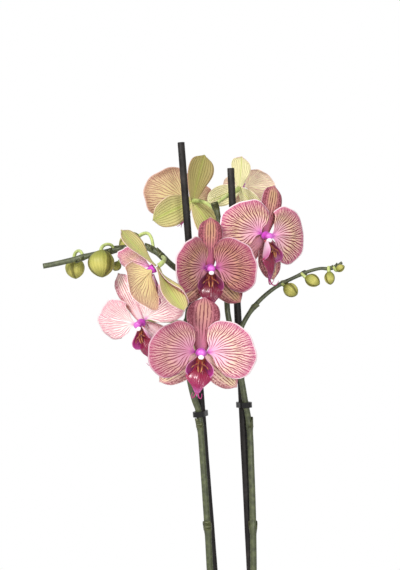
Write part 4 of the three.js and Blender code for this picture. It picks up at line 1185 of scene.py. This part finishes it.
def leaf(name, heading, length, width, base, rise, tip, seed):
    nu, nv = 60, 33
    u, v = uv_grid(nu, nv)
    own = np.random.default_rng(seed)
    phase = own.uniform(0, 2 * pi, 4)
    start, reach = 9.0, length + 0.9
    x = start + reach * (0.84 * u * (1 - u) + u * u)
    z = base * (1 - u) ** 2 + 2 * rise * u * (1 - u) + tip * u * u
    dx = reach * (0.84 * (1 - 2 * u) + 2 * u)
    dz = 2 * (rise - base) * (1 - u) + 2 * (tip - rise) * u
    size = np.hypot(dx, dz)
    s = 2 * v - 1
    half = 0.5 * width * np.maximum(along_knots(LEAF_OUTLINE, u), 0.02)
    rounded = np.abs(s) ** 1.25
    fold = np.radians(38 + (9 - 38) * np.minimum(u * 1.6, 1)) * (0.75 + 0.25 * np.abs(s))
    lift = rounded * half * np.sin(fold)
    lift = lift + 0.9 * np.abs(s) ** 2 * np.sin(7 * u + phase[0] + np.sign(s))
    lift = lift - 0.5 * np.exp(-(s / 0.05) ** 2) * (1 - u)
    grid = np.stack([x - dz / size * lift, s * half * np.cos(fold), z + dx / size * lift], axis=2)
    grid = turned_about(grid, "Z", heading) + np.array((0, 0, BARK_Z))
    build = Build()
    build.sheet(grid, margin_thin(nu, nv, 2.0, 1.0), look=(0, 0, 1))
    build.object(f"{name}_blade", LEAF, "leaf", [name])


for number, (name, values) in enumerate(LEAVES.items()):
    leaf(name, *values, number + 20)
print("leaves made:", len(LEAVES))

# %% [markdown]
# ## Roots and crown
#
# Roots are silver rods with green tips that creep over the bark, and the crown is the short stem
# that the leaves grow from. Both could be sculpted. A rod along a smooth route and a turned
# shape are used, because they stay where the packed pieces are.

# %% Build the roots and the crown
ROOTS = {
    "root_over_rim": ((-3, -9.5, 5), (-13, -27, 15), (-24, -46, 20), (-31, -58, 18.5),
                      (-36, -66, 8), (-38, -68.5, -10), (-36, -69, -28)),
    "root_front": ((4.5, -9, 4), (13, -20, 9), (20, -32, 8), (24, -41, 1), (25, -45, -9)),
    "root_back": ((-0.5, 11.5, 5), (2.5, 24, 10.5), (-1, 37, 9.5), (-5, 44, 1), (-6, 46, -9))}
for number, (name, points) in enumerate(ROOTS.items()):
    path = wander(even_steps(smooth_path([above_bark(p) for p in points], 200), 90), 0.5, number)
    t = np.linspace(0, 1, 91)
    radius = 2.8 * (1 - 0.15 * t) * (1 + 0.05 * np.sin(23 * t + number) + 0.03 * np.sin(51 * t))
    if name == "root_over_rim":
        radius[-8:] *= np.sqrt(np.linspace(1, 0.08, 8))
    build = Build()
    build.tube(path, radius, 16)
    build.object(f"{name}_skin", [ROOT_SKIN], "root", [name])


def crown_wobble(u, angle):
    return 1 + 0.06 * np.cos(2 * angle) * np.sin(9 * u)


crown = Build()
profile = [(0, -17), (5.5, -16), (7.6, -4), (8.2, 4), (7.6, 14), (6.6, 22), (4.6, 30), (2.2, 35),
    (0, CROWN_ABOVE_BARK)]
crown.turned(profile, 36, 0, above_bark, crown_wobble)
crown.object("crown_sheaths", [CROWN], "crown", ["crown"])
print("roots made:", len(ROOTS), "and the crown")

# %% [markdown]
# ## Bark
#
# Orchids grow in loose broken bark. A particle system could scatter it, but the chips would then
# be copies, and some would cut the stems. Here each chip is its own rough block, drawn at random
# and left out where something is planted, over a bed that fills the pot.

# %% Lay the bark
def chip(build, at, size, seed):
    """A broken piece of bark: a rough block with its corners knocked off."""
    own = np.random.default_rng(seed)
    n, sides = 6, 8
    u, v = np.meshgrid(np.linspace(0, pi, n + 2)[1:-1], np.linspace(0, 2 * pi, sides + 1)[:-1],
        indexing="ij")
    shape = np.stack([np.sin(u) * np.cos(v), np.sin(u) * np.sin(v), np.cos(u)], axis=2)
    shape = np.sign(shape) * np.abs(shape) ** 0.6
    shape = shape * (1 + own.normal(0, 0.11, shape.shape[:2]))[..., None] * size * (1, 0.66, 0.38)
    spin = Matrix.Rotation(own.uniform(0, 6.28), 3, "Z")
    turn = np.array(spin @ Matrix.Rotation(own.normal(0, 0.35), 3, "X"))
    ring = shape.reshape(-1, 3)
    points = np.vstack([ring, shape[0].mean(axis=0), shape[-1].mean(axis=0)]) @ turn.T + at
    faces = []
    last = (n - 1) * sides
    for i in range(n - 1):
        for j in range(sides):
            k, m = i * sides + j, i * sides + (j + 1) % sides
            faces.append((k, k + sides, m + sides, m))
    for j in range(sides):
        faces.append((len(ring), j, (j + 1) % sides))
        faces.append((len(ring) + 1, last + (j + 1) % sides, last + j))
    build.add(points, faces, [0] * len(faces), [[(0, 0)] * len(f) for f in faces])


def bark_heap():
    """A bed that fills the pot, with chips lying over it. The chips stay clear of the planted
    pieces.
    """
    low, high = np.array(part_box("potting_bark")) / MM
    outer = high[0] - 0.4
    bed = Build()
    rings = [(outer * (0.82 + 0.18 * k / 6), low[2] + (BARK_Z - 3 - low[2]) * k / 6)
        for k in range(7)]
    rings += [(outer * share, BARK_Z - 2.5 + 2.0 * (1 - share**2))
        for share in (0.92, 0.75, 0.5, 0.25)]
    bed.turned([(0, low[2])] + rings + [(0, BARK_Z - 0.5)], 40)
    # The bed, seen between the chips, is kept dark as painted shade.
    bed.object("bark_bed", [BARK], "bark", ["potting_bark"], tone=0.1)
    planted = [above_bark(p)[:2] for p in ((0, 0, 0), (-12.1, 17, 0), (14.7, 12.8, 0),
        (-8, 9.8, 0), (7, 9.8, 0))]
    clear = (9.5, 4.6, 4.6, 4.4, 4.4)
    own = np.random.default_rng(5)
    for layer, (count, size) in enumerate(((95, (4.5, 7.5)), (70, (3.5, 6.0)), (45, (3.0, 5.0)))):
        build = Build()
        for number in range(count):
            angle, share = own.uniform(0, 2 * pi), sqrt(own.uniform(0, 1))
            big = own.uniform(*size)
            where = np.array((cos(angle), sin(angle))) * share * (outer - big - 0.5)
            if any(np.linalg.norm(where - p) < gap + big * 0.9 for p, gap in zip(planted, clear)):
                continue
            lift = BARK_Z - 2.2 + 2.6 * (1 - (np.linalg.norm(where) / outer) ** 2) + 0.9 * layer
            chip(build, np.array((*where, lift)), big, layer * 500 + number)
        # The lower layers are darker and the top layer lightest: painted shade under the chips
        # above.
        build.object(f"bark_chips_{layer + 1}", [BARK], "bark", tone=(0.0, 0.5, 0.9)[layer])


bark_heap()
print("bark laid")

# %% [markdown]
# ## Pot
#
# The pot is glazed stoneware with a softened band at its rim. It could be lofted or carved, but
# a thrown pot is a solid of revolution, so one profile turned about its axis is all it needs. A
# very small wobble keeps its highlights from looking machined.

# %% Turn the pot
# How far the foot and the wall stand in from the rim, the wall's thickness and the band's height.
POT_TAPER, RIM_OVERHANG, POT_WALL, RIM_BAND = 17.0, 2.0, 3.5, 15.0


def pot_shape():
    """The pot turned at full roundness, with a softened band at its rim and a small foot ring."""
    rim, _, top = (np.array(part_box("pot")[1]) / MM).tolist()
    foot, wall = rim - POT_TAPER, rim - RIM_OVERHANG

    def outer(z):
        return foot + (wall - foot) * z / top

    def inner(z):
        return outer(z) - POT_WALL

    band = top - RIM_BAND
    profile = [(0, 1.2), (foot - 6, 1.2), (foot - 5, 0.3), (foot - 4, 0), (foot - 1.8, 0),
        (foot - 0.4, 0.6)]
    profile += [(outer(z), z) for z in np.linspace(2.0, band - 0.6, 14)]
    profile += [(outer(band) + 0.7, band + 0.2), (outer(band) + 1.9, band + 1.2),
        (rim - 0.5, band + 2.6)]
    profile += [(rim - 0.35 + 0.3 * sin(k / 3), z) for k,
        z in enumerate(np.linspace(band + 4, top - 2.6, 5))]
    profile += [(rim - 0.1, top - 1.6), (rim - 0.6, top - 0.5), (rim - 1.8, top),
        (inner(top) + 1.2, top), (inner(top) + 0.3, top - 0.5), (inner(top), top - 1.8)]
    profile += [(inner(z), z) for z in np.linspace(top - 6, 8.5, 12)]
    profile += [(inner(7) - 1.0, 6.6), (inner(6) - 3, 6.1), (0, 6.0)]

    def wobble(u, angle):
        return 1 + 0.0012 * np.sin(3 * angle + 9 * u)

    pot = Build()
    pot.turned(profile, 96, 0, None, wobble)
    pot.object("pot_turned", [GLAZE], "pot", ["pot"])


pot_shape()
print("pot turned")

# %% [markdown]
# ## Stakes and clips
#
# Each spike is held to a thin charcoal cane by small black clips. The canes are plain rods with
# cut ends, a little rough, and the clips are glossy plastic. The packed clips already have their
# shape, so they are kept, and only get rounded edges and a finish.

# %% Build the stakes and clips
def cane_material():
    sh = Shader("cane")
    grain = sh.grain(90, 4, 0.6)
    fine = sh.grain(1200, 2)
    colour = sh.ramp(grain, {0.3: "121010", 0.55: "201D1C", 0.8: "342F2D"})
    return sh.finish(colour, 0.5, grain * 0.6 + fine, 0.0002, specular=0.2)


def clip_material():
    sh = Shader("clip_plastic")
    grain = sh.grain(300, 2)
    colour = sh.mix(grain, "080708", "121112")
    return sh.finish(colour, 0.2, grain, 0.0001, specular=0.4)


CANE, CLIP = cane_material(), clip_material()
CANE_RADIUS, CUT_RADIUS, CANE_FOOT_Z = 3.0, 2.75, 20
STAKES = {"left": ((-12.1, 17, 0), (-49.0, 2.0, 477.6)),
    "right": ((14.7, 12.8, 0), (-7.6, 6.0, 456.4))}
for side, (foot, top) in STAKES.items():
    foot, top = above_bark(foot), above_bark(top)
    start = foot + (top - foot) * (CANE_FOOT_Z - foot[2]) / (top[2] - foot[2])
    t = np.linspace(0, 1, 61)
    line = start + (top - start) * t[:, None]
    radius = CANE_RADIUS * (1 - 0.012 * np.sin(40 * t) - 0.01 * np.sin(97 * t))
    radius[0] = radius[-1] = CUT_RADIUS
    line[1] = line[0] + (line[1] - line[0]) * 0.04
    line[-2] = line[-1] - (line[-1] - line[-2]) * 0.04
    build = Build()
    build.tube(line, radius, 24)
    build.object(f"cane_{side}", [CANE], "stake", [f"stake_{side}"])

for name in [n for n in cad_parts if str(n).startswith("clip_")]:
    clip = bpy.data.objects[name]
    clip.data.materials.clear()
    clip.data.materials.append(CLIP)
    bevel = clip.modifiers.new("rounded edges", "BEVEL")
    bevel.width, bevel.segments, bevel.limit_method = 0.0005, 3, "ANGLE"
print("stakes and clips made")

# %% [markdown]
# ## Light and camera
#
# A soft key from the upper left, a broad fill from the front, and a bright plain background, as
# in a small studio. The background could light the scene as brightly as it looks, but then
# shadows go flat, so it is dimmer as a light. The camera looks level from well in front.

# %% Set the light and the camera
AIM = (0, 0, 0.48)


def area_light(name, at, aim, size, power, colour=(1, 1, 1)):
    data = bpy.data.lights.new(name, "AREA")
    data.shape, data.size, data.energy, data.color = "DISK", size, power, colour
    light = bpy.data.objects.new(name, data)
    light.location = at
    light.rotation_euler = (Vector(aim) - Vector(at)).to_track_quat("-Z", "Y").to_euler()
    bpy.context.scene.collection.objects.link(light)


floor = Build()
floor.turned([(0, 0), (1200, 0), (1200, -4), (0, -4)][::-1], 96)
pale = Shader("pale_floor")
ground = floor.object("floor",
    [pale.finish(pale.mix(pale.noise(pale.place(), 6.0), "E8E7E5", "EEEDEB"), 0.8)], None)

scene = bpy.context.scene
scene.view_settings.view_transform = "Standard"
world = bpy.data.worlds.new("studio")
world.use_nodes = True
sky = world.node_tree.nodes["Background"]
sky.inputs[0].default_value = (1, 1, 1, 1)
seen = world.node_tree.nodes.new("ShaderNodeLightPath")
level = world.node_tree.nodes.new("ShaderNodeMapRange")
level.inputs["To Min"].default_value = 0.72
level.inputs["To Max"].default_value = 1.0
world.node_tree.links.new(seen.outputs["Is Camera Ray"], level.inputs["Value"])
world.node_tree.links.new(level.outputs[0], sky.inputs[1])
scene.world = world
area_light("key", (-0.8, -1.0, 1.2), AIM, 0.35, 19.0, (1, 0.98, 0.96))
area_light("fill", (0.35, -1.6, 0.7), AIM, 0.5, 13.0)

camera = bpy.data.objects.new("camera", bpy.data.cameras.new("camera"))
camera.location = (-0.0332, -1.4, 0.4629)
camera.rotation_euler = (pi / 2, 0, 0)
camera.data.lens = 106.5
camera.data.sensor_width = 36
camera.data.clip_start = 0.05
scene.collection.objects.link(camera)
scene.camera = camera
print("camera", round(camera.data.lens, 1), "mm lens,", abs(round(camera.location.y, 2)), "m away")
